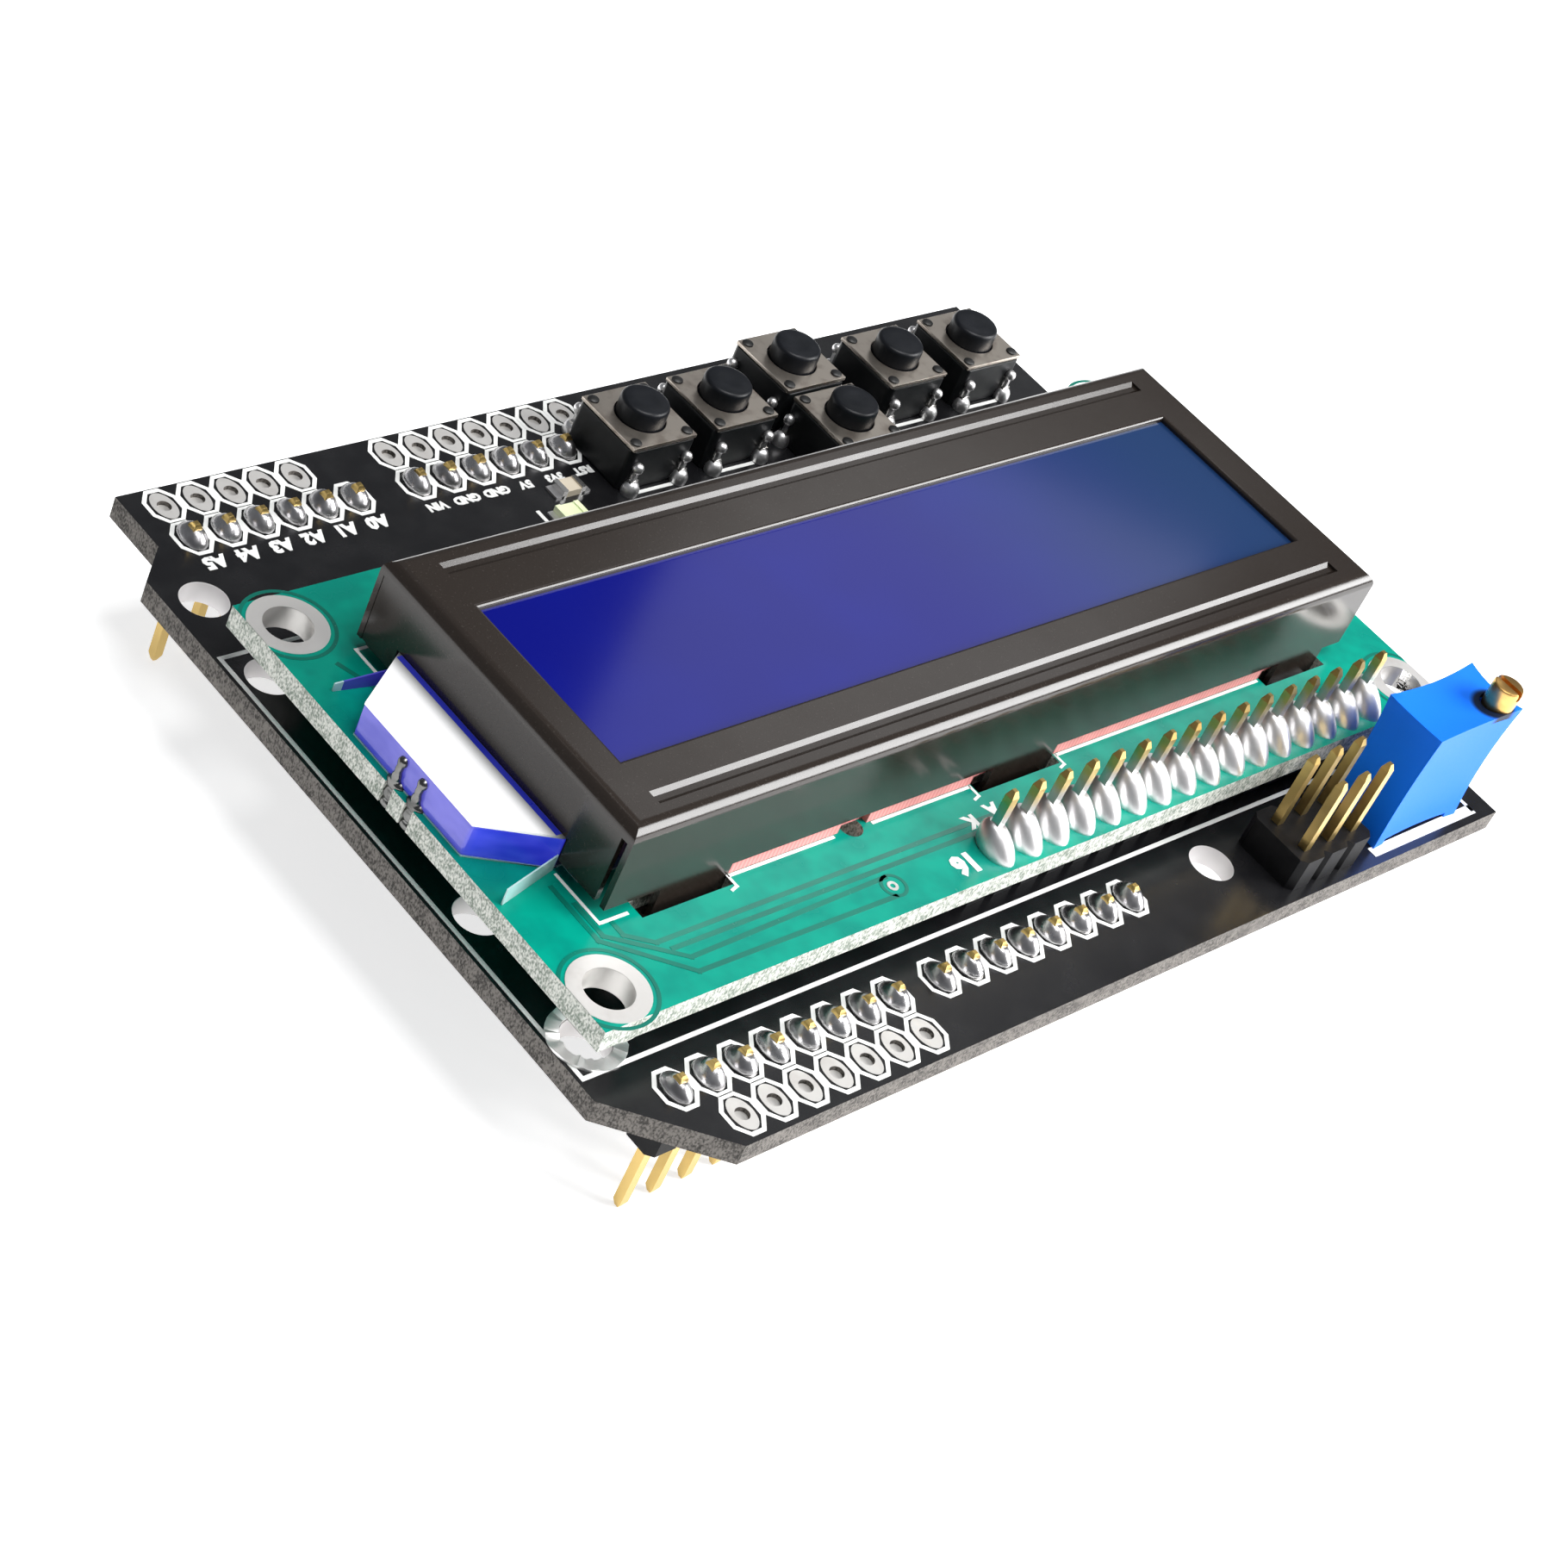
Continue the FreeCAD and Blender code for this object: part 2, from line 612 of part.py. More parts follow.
def bezel():
    """One folded sheet: window, pressed grooves, open corner seams and clamping tabs."""
    body = new_body("bezel")
    mid_x, mid_y = "sizes.bezel_x", BEZEL_Y
    long, wide, sheet_thick = "sizes.bezel_length", "sizes.bezel_width", "sizes.sheet"
    floor = f"({LCD_TOP} + sizes.long_wall_gap)"
    sketch = sketch_on(body, "XY_Plane", floor)
    rectangle(sketch, mid_x, mid_y, long, wide)
    shell = pad(body, sketch, "sizes.bezel_height - sizes.long_wall_gap")
    lid = worth(BEZEL_TOP)
    rim = [f"Edge{number}" for number, edge in enumerate(shell.Shape.Edges, 1)
           if all(abs(corner.Point.z - lid) < 1e-6 for corner in edge.Vertexes)]
    fold = body.newObject("PartDesign::Fillet", "bezel_fold")
    fold.Base = (shell, rim)
    fold.setExpression("Radius", "min(sizes.bezel_round; sizes.bezel_height / 4)")
    doc.recompute()
    base = worth(floor)
    opening = [f"Face{number}" for number, face in enumerate(fold.Shape.Faces, 1)
               if abs(face.CenterOfMass.z - base) < 1e-6]
    hollow = body.newObject("PartDesign::Thickness", "bezel_hollow")
    hollow.Base = (fold, opening)
    hollow.Mode = "Skin"
    hollow.Join = "Arc"
    hollow.Reversed = True
    hollow.setExpression("Value", sheet_thick)
    doc.recompute()

    window = sketch_on(body, "XY_Plane", BEZEL_TOP)
    window_x, window_y = f"({mid_x} + sizes.window_x)", f"({mid_y} + sizes.window_y)"
    rectangle(window, window_x, window_y, "sizes.window_length", "sizes.window_width")
    hole = pocket(body, window, sheet_thick)
    half_x, half_y = worth("sizes.window_length") / 2, worth("sizes.window_width") / 2
    sill = []
    for number, edge in enumerate(hole.Shape.Edges, 1):
        point = edge.CenterOfMass
        near_x = abs(point.x - worth(window_x)) < half_x + 0.01
        near_y = abs(point.y - worth(window_y)) < half_y + 0.01
        if near_x and near_y and abs(point.z - lid) < 1e-6:
            sill.append(f"Edge{number}")
    lip = body.newObject("PartDesign::Fillet", "bezel_lip")
    lip.Base = (hole, sill)
    lip.setExpression("Radius", f"0.6 * {sheet_thick}")
    doc.recompute()

    grooves = sketch_on(body, "YZ_Plane", mid_x)
    for way in "-+":
        groove_y = f"({mid_y} {way} (sizes.bezel_width / 2 - sizes.groove_in))"
        outline(grooves, [
            (f"{groove_y} - sizes.groove_wide / 2", BEZEL_TOP),
            (f"{groove_y} - sizes.groove_floor / 2", f"{BEZEL_TOP} - sizes.groove_deep"),
            (f"{groove_y} + sizes.groove_floor / 2", f"{BEZEL_TOP} - sizes.groove_deep"),
            (f"{groove_y} + sizes.groove_wide / 2", BEZEL_TOP),
        ])
    pocket(body, grooves, "sizes.groove_length", both_ways=True)

    # One end wall opens over the backlight's nose, and the corners stay open seams.
    gate = sketch_on(body, "XY_Plane", floor)
    inside = f"({wide} - 2 * {sheet_thick})"
    gate_x = f"{mid_x} + ({long} - {sheet_thick}) / 2"
    rectangle(gate, gate_x, "sizes.nose_y", sheet_thick, "(sizes.nose_root + sizes.cell_gap)")
    rise = f"({GUIDE_TOP} + sizes.diffuser - {floor})"
    pocket(body, gate, rise, upwards=True)
    seams = sketch_on(body, "XY_Plane", floor)
    for way in "-+":
        for side in "-+":
            x = f"{mid_x} {way} ({long} - {sheet_thick}) / 2"
            y = f"{mid_y} {side} ({inside} - sizes.seam) / 2"
            rectangle(seams, x, y, sheet_thick, "sizes.seam")
    pocket(body, seams, f"{BEZEL_TOP} - sizes.seam_drop - {floor}", upwards=True)

    # Tabs run down through the board's slots, and their feet turn in under the board.
    foot_under = f"({LCD_UNDER} - {sheet_thick})"
    tabs = sketch_on(body, "XY_Plane", foot_under)
    feet = sketch_on(body, "XY_Plane", foot_under)
    for side in "-+":
        wall = f"{mid_y} {side} ({wide} - {sheet_thick}) / 2"
        foot = f"{mid_y} {side} ({wide} / 2 - {sheet_thick} - sizes.tab_foot / 2)"
        for x, length in slot_places():
            tab_x = f"({x} - sizes.tab_spare / 2)"
            tab_long = f"({length} - sizes.tab_spare)"
            rectangle(tabs, tab_x, wall, tab_long, sheet_thick)
            rectangle(feet, tab_x, foot, tab_long, "sizes.tab_foot")
    pad(body, tabs, f"{floor} - {foot_under}")
    pad(body, feet, sheet_thick)


def display_cell():
    """Polariser and two glass plates; the front plate's ledges sit on the contact strips."""
    wide = "(sizes.bezel_width - 2 * sizes.sheet - 2 * sizes.strip_gap)"
    long = "(sizes.bezel_length - 2 * sizes.sheet - 2 * sizes.cell_gap)"
    front = f"({CELL_TOP} - sizes.polariser)"
    sheet_long = f"({long} - 2 * sizes.cell_gap)"
    sheet_wide = f"({wide} - 2 * sizes.strip_wide)"
    PIECES.append(block("polariser", "sizes.bezel_x", BEZEL_Y, front, sheet_long, sheet_wide,
                        "sizes.polariser"))
    PIECES.append(block("front_glass", "sizes.bezel_x", BEZEL_Y, LEDGE, long, wide, "sizes.glass"))
    rear = f"({LEDGE} - sizes.glass)"
    PIECES.append(block("rear_glass", "sizes.bezel_x", BEZEL_Y, rear, long, "sizes.rear_glass_wide",
                        "sizes.glass"))


def contact_strips():
    """Striped rubber between the board's contacts and the front glass, swelling out at its foot."""
    body = new_body("contact_strips")
    reach = "(sizes.bezel_width / 2 - sizes.sheet - sizes.strip_gap - sizes.strip_wide / 2)"
    sketch = sketch_on(body, "XY_Plane", LCD_TOP)
    for way in "-+":
        y = f"{BEZEL_Y} {way} {reach}"
        rectangle(sketch, "sizes.bezel_x", y, "sizes.strip_length", "sizes.strip_wide")
    pad(body, sketch, f"{LEDGE} - {LCD_TOP}")

    # The feet lie under the long walls, between the tabs and clear of the peg holes.
    slot_a, slot_b, slot_c = [
        (f"({x} + {length} / 2)", f"({x} - {length} / 2)") for x, length in slot_places()
    ]
    runs = [
        (slot_a[1], "(sizes.peg_hole_x + sizes.strip_break / 2)"),
        ("(sizes.peg_hole_x - sizes.strip_break / 2)", slot_b[0]),
        (slot_b[1], slot_c[0]),
    ]
    feet = sketch_on(body, "XY_Plane", LCD_TOP)
    deep = "(sizes.sheet + sizes.strip_gap - sizes.strip_clear)"
    for way in "-+":
        y = f"{BEZEL_Y} {way} (sizes.bezel_width / 2 - sizes.strip_clear - {deep} / 2)"
        for high, low in runs:
            rectangle(feet, f"({high} + {low}) / 2", y, f"({high} - {low} - 2 * sizes.strip_clear)", deep)
    pad(body, feet, "sizes.strip_foot")


def nose_outline():
    """The plan of the light guide: a long plate with a tapered nose past the bezel's end."""
    left = f"(sizes.bezel_x - sizes.bezel_length / 2 + sizes.sheet + sizes.cell_gap)"
    root = "(sizes.bezel_x + sizes.bezel_length / 2)"
    nose = f"({root} + sizes.nose_out)"
    neck = f"({root} - sizes.sheet - sizes.cell_gap)"
    low, high = f"{BEZEL_Y} - sizes.guide_wide / 2", f"{BEZEL_Y} + sizes.guide_wide / 2"
    root_low = "sizes.nose_y - sizes.nose_root / 2"
    root_high = "sizes.nose_y + sizes.nose_root / 2"
    tip_low = "sizes.nose_y - sizes.nose_tip / 2"
    tip_high = "sizes.nose_y + sizes.nose_tip / 2"
    return [(left, low), (neck, low), (neck, root_low), (root, root_low), (nose, tip_low),
            (nose, tip_high), (root, root_high), (neck, root_high), (neck, high), (left, high)]


def backlight():
    """Light guide, white sheet, tinted film with its two ears, and the lamp's leads."""
    guide = new_body("light_guide")
    sketch = sketch_on(guide, "XY_Plane", GUIDE_UNDER)
    outline(sketch, nose_outline())
    pad(guide, sketch, "sizes.guide_thick")

    white = new_body("diffuser_sheet")
    sketch = sketch_on(white, "XY_Plane", GUIDE_TOP)
    outline(sketch, nose_outline())
    pad(white, sketch, "sizes.diffuser")

    film = new_body("backlight_film")
    sketch = sketch_on(film, "XY_Plane", LCD_TOP)
    outline(sketch, nose_outline())
    pad(film, sketch, "sizes.film")
    root = "(sizes.bezel_x + sizes.bezel_length / 2)"
    for way in "-+":
        edge = f"(sizes.nose_y {way} sizes.nose_root / 2)"
        ear = sketch_on(film, "XZ_Plane", f"-({edge} {way} sizes.film / 2)")
        outline(ear, [
            (root, LCD_TOP),
            (f"{root} + sizes.ear_length", LCD_TOP),
            (f"{root} + sizes.ear_length", f"{LCD_TOP} + sizes.ear_height / 2"),
            (root, f"{LCD_TOP} + sizes.ear_height"),
        ])
        pad(film, ear, "sizes.film", both_ways=True)

    leads = new_body("backlight_leads")
    out = f"({root} + sizes.nose_out)"
    step = f"({out} + sizes.lead_out)"
    thick, high = "sizes.lead_thick", f"({GUIDE_UNDER} + sizes.lead_high)"
    foot = f"({LCD_UNDER} - sizes.lead_tail)"
    side = sketch_on(leads, "XZ_Plane", "-sizes.lead_y")
    outline(side, [
        (out, f"{high} - {thick}"),
        (f"{step} - {thick}", f"{high} - {thick}"),
        (f"{step} - {thick}", foot),
        (step, foot),
        (step, high),
        (out, high),
    ])
    strip = pad(leads, side, "sizes.lead_wide", both_ways=True)
    repeat(leads, [strip], ("Y_Axis", "2", "sizes.lead_pitch", False))


def turned(body, side, axis_edge):
    """A full turn of a half section about one of its own edges."""
    form = body.newObject("PartDesign::Revolution", body.Name + "_turned")
    form.Profile = side
    form.ReferenceAxis = (side, [axis_edge])
    form.Angle = 360
    doc.recompute()


def moulded_chips():
    """Two round blobs of black resin over the chips, under the display board."""
    body = new_body("chip_blobs")
    radius, high = "sizes.blob_radius", "sizes.blob_high"
    for x in ("(0 - sizes.blob_x)", "sizes.blob_x"):
        side = sketch_on(body, "XZ_Plane", "-sizes.lcd_shift")
        outline(side, [
            (x, LCD_UNDER),
            (f"{x} + {radius}", LCD_UNDER),
            (f"{x} + {radius} - {high}", f"{LCD_UNDER} - {high}"),
            (x, f"{LCD_UNDER} - {high}"),
        ])
        turned(body, side, "Edge4")


def trimmer():
    """A blue box on four feet, with a brass adjusting screw in a recess on its top."""
    body = new_body("trimmer_body")
    x, y = "sizes.trim_x", "sizes.trim_y"
    under = f"({TOP} + sizes.trim_foot)"
    lid = f"({TOP} + sizes.trim_high)"
    sketch = sketch_on(body, "XY_Plane", under)
    rectangle(sketch, x, y, "sizes.trim_length", "sizes.trim_wide")
    pad(body, sketch, "sizes.trim_high - sizes.trim_foot")
    feet = sketch_on(body, "XY_Plane", TOP)
    for way in "-+":
        for side in "-+":
            foot_x = f"{x} {way} (sizes.trim_length - sizes.trim_foot_wide) / 2"
            foot_y = f"{y} {side} (sizes.trim_wide - sizes.trim_foot_wide) / 2"
            rectangle(feet, foot_x, foot_y, "sizes.trim_foot_wide", "sizes.trim_foot_wide")
    pad(body, feet, "sizes.trim_foot")
    screw_x = f"({x} - sizes.trim_length / 2 + sizes.trim_screw_in)"
    screw_y = f"({y} + sizes.trim_screw_y)"
    recess = sketch_on(body, "XY_Plane", lid)
    circle(recess, screw_x, screw_y, "sizes.trim_screw_radius + sizes.trim_screw_gap")
    pocket(body, recess, "sizes.trim_screw_deep")

    foot = f"({lid} - sizes.trim_screw_deep)"
    high = "(sizes.trim_screw_deep + sizes.trim_screw_out)"
    rod = cylinder("screw_rod", screw_x, screw_y, foot, "sizes.trim_screw_radius", high)
    cut = block("screw_cut", screw_x, screw_y, f"{lid} + sizes.trim_screw_out - sizes.trim_slot_deep",
                "sizes.trim_slot_wide", "4 * sizes.trim_screw_radius", "2 * sizes.trim_slot_deep")
    screw = doc.addObject("Part::Cut", "trimmer_screw")
    screw.Base = rod
    screw.Tool = cut
    PIECES.append(screw)

    pins = new_body("trimmer_pins")
    sketch = sketch_on(pins, "XY_Plane", TAIL)
    for pin_x in trim_pin_places():
        rectangle(sketch, pin_x, y, "sizes.trim_pin", "sizes.trim_pin")
    pad(pins, sketch, f"{under} - {TAIL}")


def key_housing(name, x, y):
    """A square moulded cup with a round well for the dome and the plunger's flange."""
    body = new_body(name + "_key_housing")
    half, cut = "sizes.key_side / 2", "sizes.key_corner"
    sketch = sketch_on(body, "XY_Plane", TOP)
    outline(sketch, [
        (f"{x} - {half} + {cut}", f"{y} - {half}"),
        (f"{x} + {half} - {cut}", f"{y} - {half}"),
        (f"{x} + {half}", f"{y} - {half} + {cut}"),
        (f"{x} + {half}", f"{y} + {half} - {cut}"),
        (f"{x} + {half} - {cut}", f"{y} + {half}"),
        (f"{x} - {half} + {cut}", f"{y} + {half}"),
        (f"{x} - {half}", f"{y} + {half} - {cut}"),
        (f"{x} - {half}", f"{y} - {half} + {cut}"),
    ])
    pad(body, sketch, "sizes.key_high")
    well = sketch_on(body, "XY_Plane", f"{TOP} + sizes.key_high")
    circle(well, x, y, "sizes.key_well")
    pocket(body, well, "sizes.key_high - sizes.key_floor")


def key_cover(name, x, y):
    """The stamped plate that keeps the plunger in the housing."""
    body = new_body(name + "_key_cover")
    side = "(sizes.key_side - 2 * sizes.cover_inset)"
    sketch = sketch_on(body, "XY_Plane", f"{TOP} + sizes.key_high")
    rectangle(sketch, x, y, side, side)
    circle(sketch, x, y, "sizes.plunger_radius + sizes.plunger_gap")
    pad(body, sketch, "sizes.cover_thick")


def key_plunger(name, x, y):
    """A round stem with a flange under the cover and a nub above the dome."""
    body = new_body(name + "_key_plunger")
    lid, crown = f"({TOP} + sizes.key_high)", f"({TOP} + sizes.plunger_high)"
    stem, flange, nub = "sizes.plunger_radius", "sizes.flange_radius", "sizes.nub_radius"
    seat = f"({lid} - sizes.flange_thick)"
    side = sketch_on(body, "XZ_Plane", f"-({y})")
    outline(side, [
        (x, f"{seat} - sizes.nub_drop"),
        (f"{x} + {nub}", f"{seat} - sizes.nub_drop"),
        (f"{x} + {nub}", seat),
        (f"{x} + {flange}", seat),
        (f"{x} + {flange}", lid),
        (f"{x} + {stem}", lid),
        (f"{x} + {stem}", crown),
        (x, crown),
    ])
    turned(body, side, "Edge8")


def key_legs(name, x, y, sideways):
    """Four strip legs that leave the housing's sides and go down through the board."""
    body = new_body(name + "_key_legs")
    plane, off, mid = ("XZ_Plane", f"-({y})", x) if sideways else ("YZ_Plane", x, y)
    wall, outer = "sizes.key_side / 2", "(sizes.leg_rows + sizes.leg_thick) / 2"
    high = f"({TOP} + sizes.leg_start)"
    thick = "sizes.leg_thick"
    for spread in "-+":
        lift = f"{off} {spread} sizes.leg_spread / 2"
        sketch = sketch_on(body, plane, lift)
        for way in "-+":
            outline(sketch, [
                (f"{mid} {way} {wall}", f"{high} - {thick}"),
                (f"{mid} {way} {wall}", high),
                (f"{mid} {way} {outer}", high),
                (f"{mid} {way} {outer}", TAIL),
                (f"{mid} {way} ({outer} - {thick})", TAIL),
                (f"{mid} {way} ({outer} - {thick})", f"{high} - {thick}"),
            ])
        pad(body, sketch, "sizes.leg_wide", both_ways=True)


def snap_domes():
    """One thin sprung plate in each key's well, on four small feet at its rim."""
    body = new_body("snap_domes")
    floor = f"({TOP} + sizes.key_floor)"
    foot, reach = "sizes.dome_foot", "(sizes.dome_radius - sizes.dome_foot / 2)"
    plates = sketch_on(body, "XY_Plane", f"{floor} + sizes.dome_rise")
    feet = sketch_on(body, "XY_Plane", floor)
    for x, y, _ in KEYS.values():
        octagon(plates, x, y, "sizes.dome_radius")
        for way in "-+":
            rectangle(feet, f"{x} {way} {reach}", y, foot, foot)
            rectangle(feet, x, f"{y} {way} {reach}", foot, foot)
    pad(body, plates, "sizes.dome_thick")
    pad(body, feet, "sizes.dome_rise")


def small_parts():
    """The lamp and the resistor beside it, each a brick with tinned ends."""
    for name, x, y in (("power_lamp", "sizes.lamp_x", "sizes.lamp_y"),
                       ("lamp_resistor", "sizes.resistor_x", "sizes.resistor_y")):
        body = new_body(name)
        cap = "sizes.chip_cap"
        long, wide, high = "sizes.chip_length", "sizes.chip_wide", "sizes.chip_high"
        middle = sketch_on(body, "XY_Plane", TOP)
        rectangle(middle, x, y, long, wide)
        pad(body, middle, f"0.85 * {high}")
        ends = sketch_on(body, "XY_Plane", TOP)
        for way in "-+":
            rectangle(ends, f"{x} {way} ({long} - {cap}) / 2", y, cap, wide)
        pad(body, ends, high)


shield_board()
shield_headers()
programming_header()
display_header()
display_board()
bezel()
display_cell()
contact_strips()
backlight()
moulded_chips()
trimmer()
for key, (key_x, key_y, legs_sideways) in KEYS.items():
    key_housing(key, key_x, key_y)
    key_cover(key, key_x, key_y)
    key_plunger(key, key_x, key_y)
    key_legs(key, key_x, key_y, legs_sideways)
snap_domes()
small_parts()
doc.recompute()

for item in doc.Objects:
    if "Invalid" in item.State or "Error" in item.State:
        raise ValueError(f"{item.Name} failed: {item.State}")
for piece in PIECES:
    if piece.Shape.isNull() or not piece.Shape.isValid() or not piece.Shape.Solids:
        raise ValueError(f"{piece.Label} has no sound solid")

os.makedirs("parts", exist_ok=True)
for piece in PIECES:
    piece.Shape.exportStep(f"parts/{piece.Label}.step")
    print(piece.Label, len(piece.Shape.Solids), round(piece.Shape.Volume, 2))
print(len(PIECES), "nodes")
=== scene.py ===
# %% [markdown]
# A display shield is a circuit board that plugs into another board. It stands here on the tips of
# its header pins, as it does on a table. The solids come from the frame, at their real size. This
# file adds what makes them look real: finishes, print, pads, solder and small metal parts.

# %% Load the frame
import json
import math
import random
import bmesh
import bpy
from mathutils import Matrix, Vector


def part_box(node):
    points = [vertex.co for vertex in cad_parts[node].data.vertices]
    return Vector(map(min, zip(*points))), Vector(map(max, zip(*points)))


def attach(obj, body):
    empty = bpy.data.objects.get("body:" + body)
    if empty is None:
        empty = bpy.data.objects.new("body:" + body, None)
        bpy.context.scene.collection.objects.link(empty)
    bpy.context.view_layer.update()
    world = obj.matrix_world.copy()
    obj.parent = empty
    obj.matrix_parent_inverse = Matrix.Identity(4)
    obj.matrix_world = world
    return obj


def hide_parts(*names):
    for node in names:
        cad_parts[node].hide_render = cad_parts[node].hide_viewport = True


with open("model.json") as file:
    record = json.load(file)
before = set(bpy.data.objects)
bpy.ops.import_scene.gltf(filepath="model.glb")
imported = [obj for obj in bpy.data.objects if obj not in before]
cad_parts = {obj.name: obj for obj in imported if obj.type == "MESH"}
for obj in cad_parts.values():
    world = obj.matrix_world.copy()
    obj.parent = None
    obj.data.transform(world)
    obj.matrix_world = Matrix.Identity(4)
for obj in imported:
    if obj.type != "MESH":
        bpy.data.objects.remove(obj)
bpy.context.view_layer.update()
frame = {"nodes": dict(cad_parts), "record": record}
nodes = frame["nodes"]
MM = 0.001
print(len(nodes), "solids in the frame")

# %% [markdown]
# The photograph was taken from the front left, about 38 degrees above the table, with a long lens.
# The camera's place and its three directions were fitted to the rows of pins, whose pitch is known.
# A matrix whose columns are right, up and back sets all of the turning at once.

# %% Camera
PHOTO_WIDTH = 1820
FOCAL_PIXELS = 3981.3
SENSOR = 36.0
lens = bpy.data.cameras.new("camera")
lens.sensor_width = SENSOR
lens.lens = FOCAL_PIXELS * SENSOR / PHOTO_WIDTH
lens.clip_start = 0.01
camera = bpy.data.objects.new("camera", lens)
right = Vector((-0.69926, 0.62618, 0.34488))
up = Vector((-0.24409, -0.66257, 0.70811))
back = Vector((0.67191, 0.41097, 0.61615))
camera.matrix_world = Matrix.Translation((0.154295, 0.094676, 0.141295)) @ Matrix(
    (right, up, back)).transposed().to_4x4()
bpy.context.scene.collection.objects.link(camera)
bpy.context.scene.camera = camera
print("lens", round(lens.lens, 1), "mm")

# %% [markdown]
# Shader maths reads best as plain sums. A small class wraps a socket, so that `a * 2 + b` adds the
# Math nodes by itself. A second class holds one material, and makes every other node through one
# method that takes the node's type, its settings and the values or links of its sockets. Constants
# are given by the socket's name, with underscores for its blanks.


# %% A socket that does sums
class Sock:
    """An output socket that can be added, multiplied and compared."""

    def __init__(self, finish, socket):
        self.finish = finish
        self.socket = socket

    def sum(self, operation, *values):
        return self.finish.node("ShaderNodeMath", {"operation": operation}, dict(enumerate(values)))

    def __add__(self, other):
        return self.sum("ADD", self, other)

    def __sub__(self, other):
        return self.sum("SUBTRACT", self, other)

    def __rsub__(self, other):
        return self.sum("SUBTRACT", other, self)

    def __mul__(self, other):
        return self.sum("MULTIPLY", self, other)

    def __gt__(self, other):
        return self.sum("GREATER_THAN", self, other)

    def __lt__(self, other):
        return self.sum("LESS_THAN", self, other)

    def __abs__(self):
        return self.sum("ABSOLUTE", self)

    __radd__ = __add__
    __rmul__ = __mul__


# %% One material
class Finish:
    """A Principled material. Constants go on its own sockets, and patterns are fed in."""

    def __init__(self, name, color, roughness, metallic=0.0, **constants):
        self.material = bpy.data.materials.new(name)
        self.material.use_nodes = True
        self.tree = self.material.node_tree
        self.shader = self.tree.nodes["Principled BSDF"]
        self.shader.inputs["Base Color"].default_value = (*color, 1.0)
        self.shader.inputs["Roughness"].default_value = roughness
        self.shader.inputs["Metallic"].default_value = metallic
        for key, value in constants.items():
            socket = key.replace("_", " ").title().replace("Ior", "IOR")
            self.shader.inputs[socket].default_value = value

    def node(self, kind, settings=None, inputs=None, output=0):
        """Adds one node: its settings first, then the values or links of its sockets."""
        made = self.tree.nodes.new(kind)
        for key, value in (settings or {}).items():
            setattr(made, key, value)
        for where, value in (inputs or {}).items():
            if isinstance(value, Sock):
                self.tree.links.new(value.socket, made.inputs[where])
            else:
                made.inputs[where].default_value = value
        return Sock(self, made.outputs[output])

    def feed(self, where, value):
        self.tree.links.new(value.socket, self.shader.inputs[where])

    def place(self):
        return self.node("ShaderNodeTexCoord", output="Object")

    def along(self, axis):
        return self.node("ShaderNodeSeparateXYZ", inputs={0: self.place()}, output="XYZ".index(axis))

    def upright(self):
        """1 on faces that stand upright, 0 on faces that lie flat."""
        normal = self.node("ShaderNodeTexCoord", output="Normal")
        tilt = abs(self.node("ShaderNodeSeparateXYZ", inputs={0: normal}, output=2))
        return tilt < 0.5

    def noise(self, size_mm, detail=3.0, stretch=None):
        """Cloudy noise whose blotches are about size_mm across."""
        where = self.place()
        if stretch:
            where = self.node("ShaderNodeMapping", inputs={0: where, 3: stretch})
        return self.node("ShaderNodeTexNoise", inputs={"Vector": where, "Scale": 1 / (size_mm * MM),
                                                       "Detail": detail})

    def step(self, value, low, high):
        """0 below low, 1 above high, smooth between."""
        return self.node("ShaderNodeMapRange", {"interpolation_type": "SMOOTHSTEP"},
                         {0: value, 1: low, 2: high, 3: 0.0, 4: 1.0})

    def mix(self, share, first, second):
        """A colour between two colours."""
        first = first if isinstance(first, Sock) else (*first, 1.0)
        second = second if isinstance(second, Sock) else (*second, 1.0)
        return self.node("ShaderNodeMix", {"data_type": "RGBA"}, {0: share, 6: first, 7: second}, 2)

    def dent(self, height, depth_mm, strength=1.0):
        """Bump from a height between 0 and 1."""
        made = self.node("ShaderNodeBump", inputs={"Height": height, "Distance": depth_mm * MM,
                                                   "Strength": strength})
        self.feed("Normal", made)


finishes = {}
print("shader helpers ready")

# %% [markdown]
# A circuit board is woven glass in resin, under a coat of glossy lacquer. The lacquer has faint
# waves where it flowed. A cut edge shows the glass: pale, dry and speckled with dark cut threads.
# The faces that stand upright get the cut glass, so holes and slots get it too.


# %% Circuit boards
def board(name, lacquer, deep, edge, edge_dark, roughness, sheen):
    """Glossy lacquer on the flat faces and speckled cut glass on the upright ones."""
    finish = Finish(name, lacquer, roughness, Specular_IOR_Level=sheen)
    side = finish.upright()
    waves = finish.noise(2.2, 2.0)
    flat = finish.mix(finish.step(waves, 0.35, 0.7), lacquer, deep)
    threads = finish.noise(0.13, 3.0, (1.0, 1.0, 0.6))
    patches = finish.noise(0.9, 2.0)
    cut = finish.mix(finish.step(threads * 0.7 + patches * 0.3, 0.36, 0.62), edge_dark, edge)
    finish.feed("Base Color", finish.mix(side, flat, cut))
    finish.feed("Roughness", side * (0.8 - roughness) + roughness + waves * 0.05)
    finish.dent(waves * (1 - side) + threads * side, 0.02, 0.35)
    return finish


finishes["black_board"] = board("black lacquered board", (0.006, 0.006, 0.007), (0.010, 0.010, 0.011),
                                (0.18, 0.165, 0.15), (0.028, 0.025, 0.022), 0.24, 0.5)
finishes["green_board"] = board("green lacquered board", (0.0, 0.28, 0.20), (0.0, 0.22, 0.165),
                                (0.70, 0.71, 0.66), (0.20, 0.24, 0.20), 0.24, 0.25)
print("two boards")

# %% [markdown]
# The bezel is steel sheet with a thin black paint. It is glossy enough to mirror the board in front
# of it, and a little uneven where it was folded.

